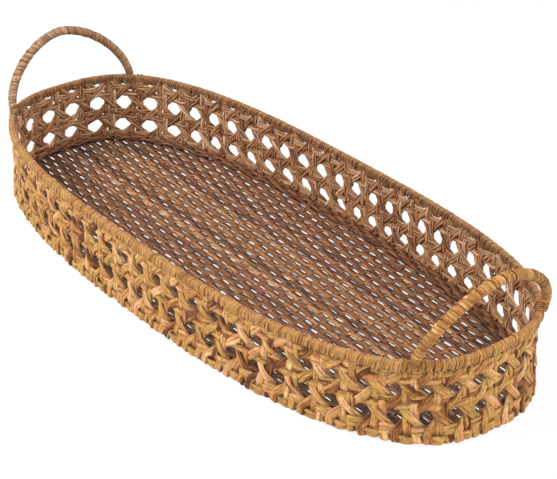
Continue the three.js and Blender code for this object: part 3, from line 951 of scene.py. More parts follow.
@dataclass
class CaneWall:
    """Open cane-work wall: upright pairs, level pairs and slanting strands, all interlaced.

    Lengths are in millimetres. Names that end in drift hold a wavelength and a size, and those that end in
    shades hold the least and the most.

    Attributes:
        top: height where the strands end inside the rim.
        columns: columns of holes round the tray.
        drift_columns: columns between which the spacing changes.
        drifts: how far the work has drifted along the wall at those columns, in columns.
        front_turns: shares of the way round between which the work changes from back to front.
        front_shares: how much of the front's heights the work has there.
        front_heights: heights of the level pairs along the front, the -Y side.
        front_fuller: how much wider the strands are along the front.
        pair_heights: heights of the level pairs along the back.
        pair_offsets: half the distance between the two strands of each level pair.
        upright_offset: half the distance between the two strands of an upright pair.
        foot_spread: the same at the ground.
        mid_depth: depth of the wall's middle layer from the rim's outer face.
        strand_width: width of a strand, both plies together.
        ply_overlap: width of a ply against half a strand.
        ply_shares: least and most of the strand that its first ply takes.
        ply_stray: how far a ply strays to its sides and out of the wall.
        ply_waves: wavelengths of those two strays.
        pair_swing: how far uprights and level strands swing in and out.
        slant_outward: how far slanting strands swing out.
        slant_inward: how far they swing in.
        upright_leaf: how much wider an upright or a slant looks where it lies over others.
        level_leaf: the same for a level strand.
        stray_wave: wavelength of a strand's strays to its sides.
        strand_shades: least and most shade of a strand.
        ply_shades: how far the shade of a ply strays from its strand's.
        lap: length of the lap of a level strand's ends, in columns.
        foot_height: height where the turn in under the base starts.
        turn_start: share of that turn where its first point is.
        step: distance between the points of a strand.
    """

    plan: OvalPlan
    top: float
    columns: int = 60
    drift_columns: tuple[float, ...] = (0, 7, 16, 20.5, 24, 32, 47, 56, 60)
    drifts: tuple[float, ...] = (0.38, 0.42, -0.22, 0.04, -0.05, 1.0, 0.3, 0.45, 0.38)
    front_turns: tuple[float, ...] = (0.0, 0.08, 0.5, 0.6, 1.0)
    front_shares: tuple[float, ...] = (1.0, 0.0, 0.0, 1.0, 1.0)
    front_heights: tuple[float, ...] = (9.5, 32.6, 53.6)
    front_fuller: float = 0.3
    pair_heights: tuple[float, ...] = (6.0, 28.2, 53.0)
    pair_offsets: tuple[float, ...] = (1.8, 2.8, 3.2)
    upright_offset: float = 2.8
    foot_spread: float = 4.3
    mid_depth: float = 5.2
    strand_width: float = 5.6
    ply_overlap: float = 1.12
    ply_shares: Pair = (0.32, 0.68)
    ply_stray: float = 0.5
    ply_waves: Pair = (24.0, 30.0)
    thickness: float = 1.6
    pair_swing: float = 0.9
    slant_outward: float = 1.6
    slant_inward: float = 1.2
    upright_leaf: float = 0.15
    level_leaf: float = 0.2
    upright_stray: float = 0.6
    slant_stray: float = 0.7
    stray_wave: float = 55.0
    girth_drift: Pair = (26.0, 0.2)
    twist_drift: Pair = (40.0, 0.4)
    height_drift: Pair = (90.0, 0.7)
    strand_shades: Pair = (0.15, 0.85)
    ply_shades: Pair = (-0.35, 0.35)
    lap: float = 0.45
    foot_radius: float = 2.6
    foot_height: float = 4.2
    turn_start: float = 0.15
    turn_points: int = 7
    step: float = 1.6
    corners: int = 7
    seed: int = 11
    work: HandWork = field(init=False)

    def __post_init__(self) -> None:
        """Works out the pitch of the columns and the heights of the level strands."""
        self.work = HandWork(self.seed)
        self.pitch = self.plan.perimeter / self.columns
        self.ply_width = self.strand_width / 2 * self.ply_overlap
        pairs = zip(self.pair_heights, self.pair_offsets)
        self.levels = np.concatenate([(height - offset, height + offset) for height, offset in pairs])

    def _turns(self, columns: np.ndarray) -> np.ndarray:
        """Shares of the way round at places in columns, with the drift of their spacing."""
        keys, drifts = np.array(self.drift_columns, float), np.array(self.drifts)
        return (columns + eased(np.mod(columns, self.columns), keys, drifts)) / self.columns

    def _strand(
        self, columns: np.ndarray, swing: np.ndarray, heights: np.ndarray, leaf: float, loose: float
    ) -> list[Strand]:
        """Strand of the wall, of two plies side by side, with the unevenness of hand work.

        Args:
            columns: places round the wall, in columns.
            swing: depths inwards from the wall's middle layer.
            heights: heights over the ground.
            leaf: how much wider the strand looks where it lies over others.
            loose: how far it strays to its sides, in millimetres.

        Returns:
            The strand's two plies.
        """
        plies = []
        lengths = run_lengths(np.stack([columns * self.pitch, heights], axis=1))
        stray = self.work.wander(lengths, self.stray_wave, loose)
        turns = self._turns(columns) + stray / self.plan.perimeter
        front = eased(np.mod(turns, 1.0), np.array(self.front_turns), np.array(self.front_shares))
        back_keys = [0, self.levels[0], *self.pair_heights, self.top]
        front_keys = [0, self.levels[0], *self.front_heights, self.top]
        raised = heights + front * (np.interp(heights, back_keys, front_keys) - heights)
        points = self.plan.points(turns, self.mid_depth + swing, raised)
        # Where the strand swings in under others the finish paints shade on it, and where it swings out
        # over them a painted highlight.
        dip = np.clip(swing / self.pair_swing, -1, 1)
        outward = self.plan.outward(turns)
        sideways = unit(np.cross(np.gradient(points, axis=0), outward))
        shade = self.work.pick(*self.strand_shades)
        part = self.work.pick(*self.ply_shares)
        for side, share in ((-1, part), (1, 1 - part)):
            uneven = self.work.wander(lengths, *self.girth_drift)
            girth = 2 * share * (1 - leaf * dip + uneven + self.front_fuller * front)
            beside = side * (1 - share) * self.strand_width / 2
            apart = beside + self.work.wander(lengths, self.ply_waves[0], self.ply_stray)
            out = self.work.wander(lengths, self.ply_waves[1], self.ply_stray)
            line = points + sideways * apart[:, None] + outward * out[:, None]
            ply_shade = float(np.clip(shade + self.work.pick(*self.ply_shades), 0, 1))
            twist = self.work.wander(lengths, *self.twist_drift)
            ply = Strand.laid(line, outward, girth, dip, ply_shade, twist)
            ply.keep_over_ground(self.ply_width, self.thickness)
            plies.append(ply)
        return plies

    def _turned_under(
        self, columns: np.ndarray, swing: np.ndarray, heights: np.ndarray
    ) -> tuple[np.ndarray, np.ndarray, np.ndarray]:
        """Adds the quarter turn in under the edge of the base to a strand that comes down.

        Args:
            columns: places round the wall, from the top down.
            swing: depths from the wall's middle layer.
            heights: heights, ending at the foot's height.

        Returns:
            Places, depths and heights with the turn at their end.
        """
        angles = np.linspace(self.turn_start, 1, self.turn_points) * math.pi / 2
        turn_swing = swing[-1] + self.foot_radius * (1 - np.cos(angles))
        turn_heights = heights[-1] - self.foot_radius * np.sin(angles)
        turn_columns = np.full(len(angles), columns[-1])
        return (
            np.concatenate([columns, turn_columns]),
            np.concatenate([swing, turn_swing]),
            np.concatenate([heights, turn_heights]),
        )

    def uprights(self) -> list[Strand]:
        """Upright strands in pairs, woven with the level strands and turned in under the base.

        Returns:
            The plies of two strands for each column.
        """
        strands = []
        middles = (self.levels[1:-1:2] + self.levels[2::2]) / 2
        keys = np.concatenate([self.levels, middles, [self.top]])
        order = np.argsort(keys)
        for index in range(2 * self.columns):
            side = 1 if index % 2 else -1
            over = np.array([(-1) ** (index + level) for level in range(len(self.levels))])
            swings = np.concatenate([over * self.pair_swing, np.zeros(len(middles) + 1)])
            heights = np.arange(self.top, self.foot_height, -self.step)
            heights[-1] = self.foot_height
            swing = eased(heights, keys[order], swings[order])
            spread = np.clip(1 - heights / self.levels[1], 0, 1) * (self.foot_spread - self.upright_offset)
            columns = index // 2 + 0.5 + side * (self.upright_offset + spread) / self.pitch
            course = self._turned_under(columns, swing, heights)
            strands += self._strand(*course, leaf=self.upright_leaf, loose=self.upright_stray)
        return strands

    def level_strands(self) -> list[Strand]:
        """Level strands, each once round the wall with its ends lapped on the inside.

        Returns:
            The plies of two strands for each pair, and of a third in the middle of the lowest.
        """
        strands = []
        for level, height in enumerate([self.pair_heights[0], *self.levels], start=-1):
            start = self.work.pick(0, self.columns)
            columns = np.arange(start, start + self.columns + self.lap, self.step / self.pitch)
            whole = np.arange(math.floor(start) - 1, math.ceil(columns[-1]) + 2)
            keys = [whole]
            swings = [np.zeros(len(whole))]
            for side in (-1, 1):
                index = 2 * whole + (1 if side > 0 else 0)
                keys.append(whole + 0.5 + side * self.upright_offset / self.pitch)
                swings.append(-((-1.0) ** (index + level)) * self.pair_swing)
            order = np.argsort(np.concatenate(keys))
            swing = eased(columns, np.concatenate(keys)[order], np.concatenate(swings)[order])
            ends = np.minimum(columns - start, columns[-1] - columns)
            swing = swing + np.clip(1 - ends / self.lap, 0, 1) * self.thickness
            heights = height + self.work.wander(columns * self.pitch, *self.height_drift)
            strands += self._strand(columns, swing, heights, leaf=self.level_leaf, loose=0.0)
        return strands

    def slants(self, lean: Lean) -> list[Strand]:
        """Slanting strands of one lean, over one kind of pair and under the other by turns.

        Args:
            lean: way that the strands lean.

        Returns:
            The plies of one strand for each column.
        """
        strands = []
        row = self.pair_heights[-1] - self.pair_heights[-2]
        keys = np.array([*self.pair_heights, self.pair_heights[-1] + row])
        top = float(np.interp(self.top, keys, np.arange(len(keys))))
        foot = (self.foot_height - keys[0]) / (keys[1] - keys[0])
        step = self.step / math.hypot(self.pitch, row)
        for column in range(self.columns):
            rise = np.arange(top, foot, -step)
            rise[-1] = foot
            swing = -lean.value * np.cos(FULL_TURN * rise)
            swing *= np.where(swing < 0, self.slant_outward, self.slant_inward)
            below = np.minimum(rise, 0) * (keys[1] - keys[0])
            heights = np.interp(rise, np.arange(len(keys)), keys) + below
            course = (column + lean.value * np.maximum(rise, 0), swing, heights)
            if lean is Lean.RISING:
                course = self._turned_under(*course)
            strands += self._strand(*course, leaf=self.upright_leaf, loose=self.slant_stray)
        return strands

    def build(self, sweep: StrandSweep) -> None:
        """Makes the wall's pieces.

        Args:
            sweep: tree that sweeps the strands.
        """
        section = Section(self.ply_width, self.thickness, self.corners, WALL_FINISH.material())
        lacing = nodes_named("wall_lacing")
        half = len(lacing) // 2
        uprights = sweep.piece("cane_uprights", self.uprights(), section)
        seat(uprights, nodes_named("wall_upright"))
        levels = sweep.piece("cane_levels", self.level_strands(), section)
        seat(levels, nodes_named("wall_weaver"))
        rising = sweep.piece("cane_slants_rising", self.slants(Lean.RISING), section)
        seat(rising, lacing[:half])
        falling = sweep.piece("cane_slants_falling", self.slants(Lean.FALLING), section)
        seat(falling, lacing[half:])


@dataclass
class WovenBase:
    """Woven base: close rows along the tray over and under pairs of thin ribs across it.

    Lengths are in millimetres. Names that end in drift hold a wavelength and a size, and those that end in
    range or shades hold the least and the most.

    Attributes:
        hoop_top: height of the top of the hoop that the base lies on.
        pair_pitch: distance between the rib pairs.
        pair_half: half the distance between the two ribs of a pair.
        rib_dip: how far the ribs lie under others, which paints shade on them.
        row_strands: strands side by side in a row.
        strand_overlap: width of a strand against its share of a row.
        strand_girth: width of a strand in the mean, as a share.
        strand_range: how far the width of one strand strays from that.
        strand_shades: how far the shade of one strand strays from its row's.
        lift: how far a row rises over the ribs and sinks under them.
        lift_drift: drift of that rise, as a share.
        crossing: how short a row's crossing from over to under is.
        end_loose: how much narrower the strands are at the -X end.
        end_share: share of the half length where that starts.
        edge_depth: how far the weave's edge lies inside the wall.
        painted_shade_depth: how far from the wall the painted shade and shadow of the wall reach.
        painted_shade_tint: share of the darker colours painted as that shade at the wall.
        border_depth: depth of the outermost round.
        border_girth: width of the border's strands, against a rib.
        border_wave: how far the rounds go over and under the tucks.
        border_lap: how far a round's ends lap, as a share of the way round.
        border_painted_shade: painted shade on the border's strands in the mean, given as a dip under
            others.
        border_dip_wave: how much that dip changes where the rounds go over and under the tucks.
        tuck_place_range: how far a tuck strays from its place, in tucks.
        tuck_slant_range: how far a tuck leans, in tucks.
    """

    plan: OvalPlan
    hoop_top: float
    pair_pitch: float = 13.4
    pair_half: float = 4.8
    rib_width: float = 1.5
    rib_thickness: float = 0.8
    rib_step: float = 8.0
    rib_points: int = 4
    rib_dip: float = 0.6
    rib_drift: Pair = (120.0, 0.5)
    rib_shades: Pair = (0.0, 0.7)
    row_pitch: float = 4.6
    row_strands: int = 3
    row_points: int = 8
    row_drift: Pair = (70.0, 0.5)
    row_shades: Pair = (0.3, 0.7)
    strand_overlap: float = 1.08
    strand_thickness: float = 1.2
    strand_girth: float = 1.03
    strand_range: Pair = (-0.1, 0.14)
    strand_shades: Pair = (-0.4, 0.4)
    girth_drift: Pair = (40.0, 0.26)
    twist_drift: Pair = (60.0, 0.25)
    lift: float = 0.88
    lift_drift: Pair = (45.0, 0.35)
    crossing: float = 0.5
    end_loose: float = 0.15
    end_share: float = 0.86
    edge_depth: float = 8.5
    painted_shade_depth: float = 90.0
    painted_shade_tint: float = 1.0
    border_rounds: int = 3
    border_pitch: float = 3.7
    border_depth: float = 10.4
    border_height: float = 7.3
    border_girth: float = 3.2
    border_wave: float = 0.7
    border_lap: float = 0.01
    border_painted_shade: float = 0.4
    border_dip_wave: float = 0.6
    border_shades: Pair = (0.2, 0.5)
    border_drift: Pair = (60.0, 0.7)
    border_girth_drift: Pair = (30.0, 0.25)
    border_twist_drift: Pair = (40.0, 0.3)
    tuck_count: int = 120
    tuck_points: int = 12
    tuck_place_range: Pair = (-0.16, 0.16)
    tuck_slant_range: Pair = (-0.4, 0.4)
    tuck_girth_range: Pair = (0.8, 1.1)
    tuck_shades: Pair = (0.2, 0.75)
    tuck_twist_range: Pair = (-0.2, 0.2)
    step: float = 1.8
    corners: int = 6
    seed: int = 23
    work: HandWork = field(init=False)

    def __post_init__(self) -> None:
        """Works out the count of the rows, the width of a strand and the height of the weave's middle."""
        self.work = HandWork(self.seed)
        half = self.plan.half_width + self.plan.flare_width - self.edge_depth
        self.side_rows = round(half / self.row_pitch)
        self.strand_pitch = half / (self.side_rows + 0.5) / self.row_strands
        self.middle = self.hoop_top + self.lift + self.strand_thickness / 2
        self.shift = np.array([*self.plan.foot_shift, 0.0])

    def _painted_shade(self, x: np.ndarray, y: np.ndarray) -> np.ndarray:
        """Painted shade and shadow of the walls on the strands near them, at both ends and the -Y side.

        Args:
            x: distances from the middle along the tray.
            y: distances from the middle across it.

        Returns:
            Share of the darker colours that paint that shade.
        """
        end = self.plan.reach(y, 0.0, across=False) - np.abs(x)
        side = self.plan.reach(x, 0.0, across=True) + y
        return self.painted_shade_tint * np.clip(1 - np.minimum(end, side) / self.painted_shade_depth, 0, 1)

    def ribs(self) -> list[Strand]:
        """Ribs across the tray in pairs, from wall to wall.

        Returns:
            One strand for each rib.
        """
        strands = []
        most = int((self.plan.half_length - self.edge_depth) // self.pair_pitch)
        for index in range(-2 * most, 2 * most + 2):
            place = (index // 2) * self.pair_pitch + (self.pair_half if index % 2 else -self.pair_half)
            reach = self.plan.reach(place, self.edge_depth, across=True)
            y = np.linspace(-reach, reach, max(int(2 * reach / self.rib_step), self.rib_points))
            x = place + self.work.wander(y, *self.rib_drift)
            points = np.stack([x, y, np.full(len(y), self.middle)], axis=1) + self.shift
            shade = self.work.pick(*self.rib_shades)
            strands.append(Strand.laid(points, UP, 1.0, self.rib_dip, shade, 0.0, self._painted_shade(x, y)))
        return strands

    def _row_strand(self, row: int, place: float, row_shade: float) -> Strand:
        """One strand of a row, over and under the rib pairs by turns.

        Args:
            row: the row's number from the middle.
            place: distance of the strand from the middle, across the tray.
            row_shade: shade of the row.

        Returns:
            The strand.
        """
        reach = self.plan.reach(place, self.edge_depth, across=False)
        x = np.linspace(-reach, reach, max(int(2 * reach / self.step), self.row_points))
        swing = self.crossing * np.cos(math.pi * x / self.pair_pitch) * (-1) ** row
        wave = np.tanh(swing) / math.tanh(self.crossing)
        y = place + self.work.wander(x, *self.row_drift)
        lift = self.lift * (1 + self.work.wander(x, *self.lift_drift))
        points = np.stack([x, y, self.middle + lift * wave], axis=1) + self.shift
        uneven = self.work.wander(x, *self.girth_drift)
        girth = self.strand_girth + uneven + self.work.pick(*self.strand_range)
        girth -= self.end_loose * np.clip((-x / reach - self.end_share) / (1 - self.end_share), 0, 1)
        shade = float(np.clip(row_shade + self.work.pick(*self.strand_shades), 0, 1))
        twist = self.work.wander(x, *self.twist_drift)
        # The dip paints shade where the strand sinks under the ribs, and the tint paints the walls' shade
        # and shadow near them.
        return Strand.laid(points, UP, girth, -wave, shade, twist, self._painted_shade(x, y))

    def rows(self) -> list[Strand]:
        """Rows of strands along the tray.

        Returns:
            The strands in order across the tray.
        """
        strands = []
        for row in range(-self.side_rows, self.side_rows + 1):
            row_shade = self.work.pick(*self.row_shades)
            for number in range(self.row_strands):
                index = row * self.row_strands + number
                place = (index - (self.row_strands - 1) / 2) * self.strand_pitch
                strands.append(self._row_strand(row, place, row_shade))
        return strands

    def border(self) -> list[Strand]:
        """Rounds of strand over the edge of the base, along the foot of the wall.

        Returns:
            One strand for each round.
        """
        strands = []
        for number in range(self.border_rounds):
            start = self.work.pick(0, 1)
            turns = np.arange(start, start + 1 + self.border_lap, self.step / self.plan.perimeter)
            lengths = turns * self.plan.perimeter
            wave = np.cos(math.pi * (self.tuck_count * turns + number))
            inside = self.border_depth + number * self.border_pitch
            depth = inside + self.work.wander(lengths, *self.border_drift)
            points = self.plan.points(turns, depth, self.border_height + self.border_wave * wave)
            girth = self.border_girth * (1 + self.work.wander(lengths, *self.border_girth_drift))
            # Painted shade on the border, more where a round goes under a tuck.
            dip = self.border_painted_shade - self.border_dip_wave * wave
            shade = self.work.pick(*self.border_shades)
            twist = self.work.wander(lengths, *self.border_twist_drift)
            strands.append(Strand.laid(points, UP, girth, dip, shade, twist))
        return strands

    def tucks(self) -> list[Strand]:
        """Ends of the wall's uprights, tucked over and under the border's rounds.

        Returns:
            One strand for each tuck.
        """
        strands = []
        share = np.linspace(0, 1, self.tuck_points)
        for index in range(self.tuck_count):
            middle = index + self.work.pick(*self.tuck_place_range)
            turns = (middle + share * self.work.pick(*self.tuck_slant_range)) / self.tuck_count
            wave = (-1) ** index * np.cos(math.pi * share * self.border_rounds)
            depth = self.border_depth + self.border_pitch * (share * self.border_rounds - 1)
            points = self.plan.points(turns, depth, self.border_height - self.border_wave * wave)
            girth = self.border_girth * self.work.pick(*self.tuck_girth_range)
            # Painted shade on the tucks, more where a tuck goes under a round.
            dip = self.border_painted_shade + self.border_dip_wave * wave
            shade = self.work.pick(*self.tuck_shades)
            twist = self.work.pick(*self.tuck_twist_range)
            strands.append(Strand.laid(points, UP, girth, dip, shade, twist))
        return strands

    def build(self, sweep: StrandSweep) -> None:
        """Makes the base's pieces, the rows in as many pieces as the CAD base has weavers.

        Args:
            sweep: tree that sweeps the strands.
        """
        finish = BASE_FINISH.material()
        thin = Section(self.rib_width, self.rib_thickness, self.corners, finish)
        ribs = sweep.piece("base_ribs", self.ribs() + self.border() + self.tucks(), thin)
        seat(ribs, nodes_named("base_rib"))
        width = self.strand_pitch * self.strand_overlap
        broad = Section(width, self.strand_thickness, self.corners, finish)
        rows = self.rows()
        nodes = nodes_named("base_weaver")
        for number, node in enumerate(nodes):
            share = rows[number * len(rows) // len(nodes) : (number + 1) * len(rows) // len(nodes)]
            seat(sweep.piece(node.replace("weaver", "rows"), share, broad), [node])


@dataclass
class WrappedRim:
    """Rim wrapped with strips that go round its hoop, side by side and aslant.

    Lengths are in millimetres. Names that end in range or shades hold the least and the most.

    Attributes:
        bottom: height of the rim's underside.
        top: height of the rim's top.
        depth: depth of the rim's middle from its outer face.
        half_width: half the rim's width.
        strip_pitch: width of a strip in the mean.
        slant_range: how far a strip goes along the rim in its turn, in strips.
        lift_range: how far a strip lies out from the wrapped face.
        advance_range: share of its width that a strip leaves in view.
        girth_drift: drift of a strip's width in its turn, as a wavelength in radians and a share.
        squareness: how square the rim's section is.
        ragged: how much lower the lowest strips reach.
        turn_ends: angles from straight below where a strip's turn starts and, less a full turn, ends.
        painted_highlight_angle: angle round the section, from straight out, of the line of painted
            highlight.
        painted_highlight_spread: how far that painted highlight reaches to either side.
        painted_highlight_side: direction out of the tray on the side that has it.
        painted_highlight_gain: how soon the painted highlight is full on that side.
        inner_tint: share of the inner colours on top of the rim.
        tint_turn: how fast that share changes from the outer to the inner face.
        steps_per_turn: points of a strip.
    """

    plan: OvalPlan
    bottom: float
    top: float
    depth: float
    half_width: float
    strip_pitch: float = 2.2
    strip_thickness: float = 0.7
    strip_shades: Pair = (0.2, 0.72)
    width_range: Pair = (0.55, 1.4)
    slant_range: Pair = (1.2, 4.2)
    lift_range: Pair = (-0.12, 0.12)
    advance_range: Pair = (0.8, 0.95)
    twist_range: Pair = (-0.25, 0.25)
    girth_drift: Pair = (6.0, 0.08)
    squareness: float = 3.2
    ragged: float = 2.0
    turn_ends: Pair = (-0.6, -0.4)
    painted_highlight_angle: float = math.radians(106)
    painted_highlight_spread: float = math.radians(20)
    painted_highlight_side: tuple[float, ...] = (0.6, -0.8, 0.0)
    painted_highlight_gain: float = 2.0
    inner_tint: float = 0.8
    tint_turn: float = 1.5
    steps_per_turn: int = 20
    lath_points: int = 361
    corners: int = 7
    seed: int = 37
    work: HandWork = field(init=False)

    def __post_init__(self) -> None:
        """Starts the unevenness of the wrapping."""
        self.work = HandWork(self.seed)

    def loop(self, turn: float, width: float, slant: float, lift: float) -> Strand:
        """One turn of a strip round the rim, with its ends under the rim.

        Args:
            turn: where the turn is, as a share of the way round.
            width: share of the full width of a strip.
            slant: how far the strip goes along the rim in its turn.
            lift: how far it lies out from the wrapped face.

        Returns:
            The strip.
        """
        angle = turn_angles(self.turn_ends, self.steps_per_turn)
        c, s = np.cos(angle), np.sin(angle)
        power = 2 / self.squareness
        sunk = self.strip_thickness / 2 - lift
        bottom = self.bottom - self.work.pick(0, self.ragged)
        out = (self.half_width - sunk) * powered(c, power)
        up = ((self.top - bottom) / 2 - sunk) * powered(s, power)
        turns = turn + slant * (np.linspace(0, 1, len(angle)) - 0.5) / self.plan.perimeter
        points = self.plan.points(turns, self.depth - out, (bottom + self.top) / 2 + up)
        outward = self.plan.outward(turns)
        facing = outward * powered(c, 2 - power)[:, None] + UP * powered(s, 2 - power)[:, None]
        girth = width * (1 + self.work.wander(angle, *self.girth_drift))
        # A painted highlight along each strip's inner top edge, mostly along the front, given as a
        # negative dip.
        in_front = np.clip(self.painted_highlight_gain * outward @ np.array(self.painted_highlight_side), 0, 1)
        dip = -in_front * np.clip(1 - np.abs(angle - self.painted_highlight_angle) / self.painted_highlight_spread, 0, 1)
        shade = self.work.pick(*self.strip_shades)
        twist = self.work.pick(*self.twist_range)
        tint = np.clip(self.inner_tint - self.tint_turn * c, 0, 1)
        return Strand.laid(points, facing, girth, dip, shade, twist, tint)

    def strips(self, start: float, end: float) -> list[Strand]:
        """Strips of a stretch of the rim, one for each turn.

        Args:
            start: where the stretch starts, as a share of the way round.
            end: where it ends.

        Returns:
            One strand for each turn.
        """
        strands = []
        length = (end - start) * self.plan.perimeter
        place = 0.0
        while place < length:
            width = self.work.pick(*self.width_range)
            turn = start + (place + width * self.strip_pitch / 2) / self.plan.perimeter
            slant = self.strip_pitch * self.work.pick(*self.slant_range)
            strands.append(self.loop(turn, width, slant, self.work.pick(*self.lift_range)))
            place += width * self.strip_pitch * self.work.pick(*self.advance_range)
        return strands

    def core(self) -> Strand:
        """Lath inside the wrapping, once round the tray."""
        turns = np.linspace(0, 1, self.lath_points)
        points = self.plan.points(turns, self.depth, np.full(len(turns), (self.bottom + self.top) / 2))
        return Strand(points, self.plan.outward(turns), 1.0, CORE_DIP, CORE_SHADE)

    def build(self, sweep: StrandSweep) -> None:
        """Makes the lath, and the wrapping in as many pieces as the CAD rim has.

        Args:
            sweep: tree that sweeps the strips.
        """
        finish = RIM_FINISH.material()
        wall = 2 * self.strip_thickness
        lath = Section(self.top - self.bottom - wall, 2 * self.half_width - wall, CORE_CORNERS, finish)
        seat(sweep.piece("rim_lath", [self.core()], lath), ["rim_hoop"])
        strip = Section(self.strip_pitch, self.strip_thickness, self.corners, finish)
        nodes = nodes_named("rim_wrap")
        for number, node in enumerate(nodes):
            strips = self.strips(number / len(nodes), (number + 1) / len(nodes))
            seat(sweep.piece(node.replace("wrap", "strips"), strips, strip), [node])


@dataclass
class ArchHandle:
    """Arched handle: a strip wound round a bent rod whose feet are bound into the rim.

    Lengths are in millimetres. Names that end in range or shades hold the least and the most.

    Attributes:
        end: end of the tray that the handle stands at.
        foot_half: half the distance between its feet.
        rise: how far the arch rises along its leaning plane.
        rim: the rim that it is bound into.
        sunk: how far the feet go below the rim's top.
        foot_depth: depth of the feet's middle from the outer face of a rim whose end isn't drawn in.
        lean: how far the arch leans outwards.
        exponent: how round the arch is.
        foot_share: share of the full section at the feet.
        taper_length: length that the rod takes to reach its full section.
        foot_pitch: width of the strip's turns at the feet.
        arch_pitch: width of its turns up the arch.
        widening: length over which the turns widen.
        end_margin: length without turns at both ends.
        strip_overlap: width of the strip against the place of its turn.
        strip_advance: share of its width that a turn leaves in view.
        width_range: width of a turn, as a share.
        slant_range: how far a turn goes along the rod, as a share of its width.
        lift_range: how far a turn lies out from the wound face.
        turn_ends: angles from the arch's outer curve where a turn starts and, less a full turn, ends.
        steps_per_turn: points of a turn.
        arch_points: points of the arch's middle line.
        leg_points: points of the line of each foot.
        search_turn: share of the way round that the foot's place is searched in.
        search_points: places tried there.
        look_ahead: length over which the line's direction is taken.
        binding_places: places of the bindings along the rim, from the foot.
        binding_range: width of a binding, as a share.
        binding_slant: how far a binding leans, against its place.
        binding_lift: how far it lies out from the wrapped rim.
    """

    end: End
    foot_half: float
    rise: float
    rim: WrappedRim
    sunk: float
    foot_depth: float
    lean: float = math.radians(18)
    exponent: float = 1.72
    half_width: float = 4.5
    half_thickness: float = 4.1
    foot_share: float = 0.86
    taper_length: float = 26.0
    foot_pitch: float = 2.5
    arch_pitch: float = 5.0
    widening: float = 45.0
    end_margin: float = 1.0
    strip_width: float = 5.0
    strip_thickness: float = 0.7
    strip_overlap: float = 1.03
    strip_advance: float = 0.96
    strip_shades: Pair = (0.2, 0.85)
    width_range: Pair = (0.75, 1.25)
    slant_range: Pair = (0.8, 1.3)
    lift_range: Pair = (-0.35, -0.1)
    twist_range: Pair = (-0.15, 0.15)
    turn_ends: Pair = (-0.3, -0.1)
    steps_per_turn: int = 16
    arch_points: int = 400
    leg_points: int = 12
    rod_points: int = 121
    search_turn: float = 0.2
    search_points: int = 2001
    look_ahead: float = 2.0
    binding_places: tuple[float, ...] = (-9.4, -6.2, 6.2, 9.4)
    binding_range: Pair = (0.6, 0.8)
    binding_slant: float = -0.4
    binding_lift: float = 0.75
    corners: int = 8
    seed: int = 51
    work: HandWork = field(init=False)

    def __post_init__(self) -> None:
        """Starts the unevenness of the winding and lays out the middle line."""
        self.work = HandWork(self.seed + self.end.value)
        turns = np.linspace(0, self.search_turn, self.search_points)
        plan = self.rim.plan.points(turns, self.foot_depth, np.full(len(turns), self.rim.top))
        nearest = int(np.argmin(np.abs(plan[:, 1] - self.foot_half)))
        self.foot_turn = float(turns[nearest])
        foot = plan[nearest]
        angle = np.linspace(0, math.pi, self.arch_points)
        power = 2 / self.exponent
        c, s = -np.cos(angle), np.sin(angle)
        rise = self.rise * np.abs(s) ** power
        x = foot[0] + rise * math.sin(self.lean)
        y = foot[1] * powered(c, power)
        arch = np.stack([x, y, foot[2] + rise * math.cos(self.lean)], axis=1)
        leg = np.linspace(self.sunk, 0, self.leg_points)[:-1, None] * -UP
        self.line = np.concatenate([arch[0] + leg, arch, (arch[-1] + leg)[::-1]])
        self.lengths = run_lengths(self.line)

    def _turned(self, points: np.ndarray) -> np.ndarray:
        """Points moved to this handle's end of the tray."""
        return points * np.array([self.end.value, self.end.value, 1.0])

    def _frame(self, along: np.ndarray) -> tuple[np.ndarray, np.ndarray, np.ndarray]:
        """Middle line, outward side and inner side at lengths along the handle.

        Args:
            along: lengths from the first foot.

        Returns:
            Points of the line, then directions out of the tray and into the arch.
        """
        centre, ahead, behind = (
            np.stack([np.interp(along + shift, self.lengths, self.line[:, k]) for k in range(3)], axis=1)
            for shift in (0.0, self.look_ahead, -self.look_ahead)
        )
        tangent = unit(ahead - behind)
        inner = unit(np.cross(tangent, np.array([1.0, 0.0, 0.0])))
        return centre, np.cross(inner, tangent), inner

    def _taper(self, along: np.ndarray) -> np.ndarray:
        """Share of the full section at lengths along the handle, less towards the feet."""
        from_foot = np.minimum(along, self.lengths[-1] - along)
        return np.interp(from_foot, [0, self.taper_length], [self.foot_share, 1.0])

    def _strip_turn(self, place: float, width: float) -> Strand:
        """One turn of the strip round the rod.

        Args:
            place: length along the handle where the turn starts.
            width: its width in millimetres.

        Returns:
            The turn.
        """
        angle = turn_angles(self.turn_ends, self.steps_per_turn)
        slant = width * self.work.pick(*self.slant_range)
        along = place + width / 2 + slant * (np.linspace(0, 1, len(angle)) - 0.5)
        out = self.work.pick(*self.lift_range)
        centre, side, inner = self._frame(along)
        c, s = np.cos(angle)[:, None], np.sin(angle)[:, None]
        across = side * c * (self.half_width + out) + inner * s * (self.half_thickness + out)
        points = self._turned(centre + self._taper(along)[:, None] * across)
        normal = self._turned(unit(side * c / self.half_width + inner * s / self.half_thickness))
        girth = width * self.strip_overlap / self.strip_width
        shade = self.work.pick(*self.strip_shades)
        return Strand.laid(points, normal, girth, 0.0, shade, self.work.pick(*self.twist_range))

    def winding(self) -> list[Strand]:
        """Turns of the strip: narrow at the feet and wider up the arch.

        Returns:
            One strand for each turn.
        """
        strands = []
        total = float(self.lengths[-1])
        place = self.end_margin
        while place < total - self.end_margin:
            from_foot = min(place, total - place) - self.sunk
            widest = float(np.interp(from_foot, [0, self.widening], [self.foot_pitch, self.arch_pitch]))
            width = widest * self.work.pick(*self.width_range)
            strands.append(self._strip_turn(place, width))
            place += width * self.strip_advance
        return strands

    def rod(self) -> Strand:
        """Bent rod inside the winding."""
        along = np.linspace(0, self.lengths[-1], self.rod_points)
        centre, side, _ = self._frame(along)
        return Strand(self._turned(centre), self._turned(side), self._taper(along), CORE_DIP, CORE_SHADE)

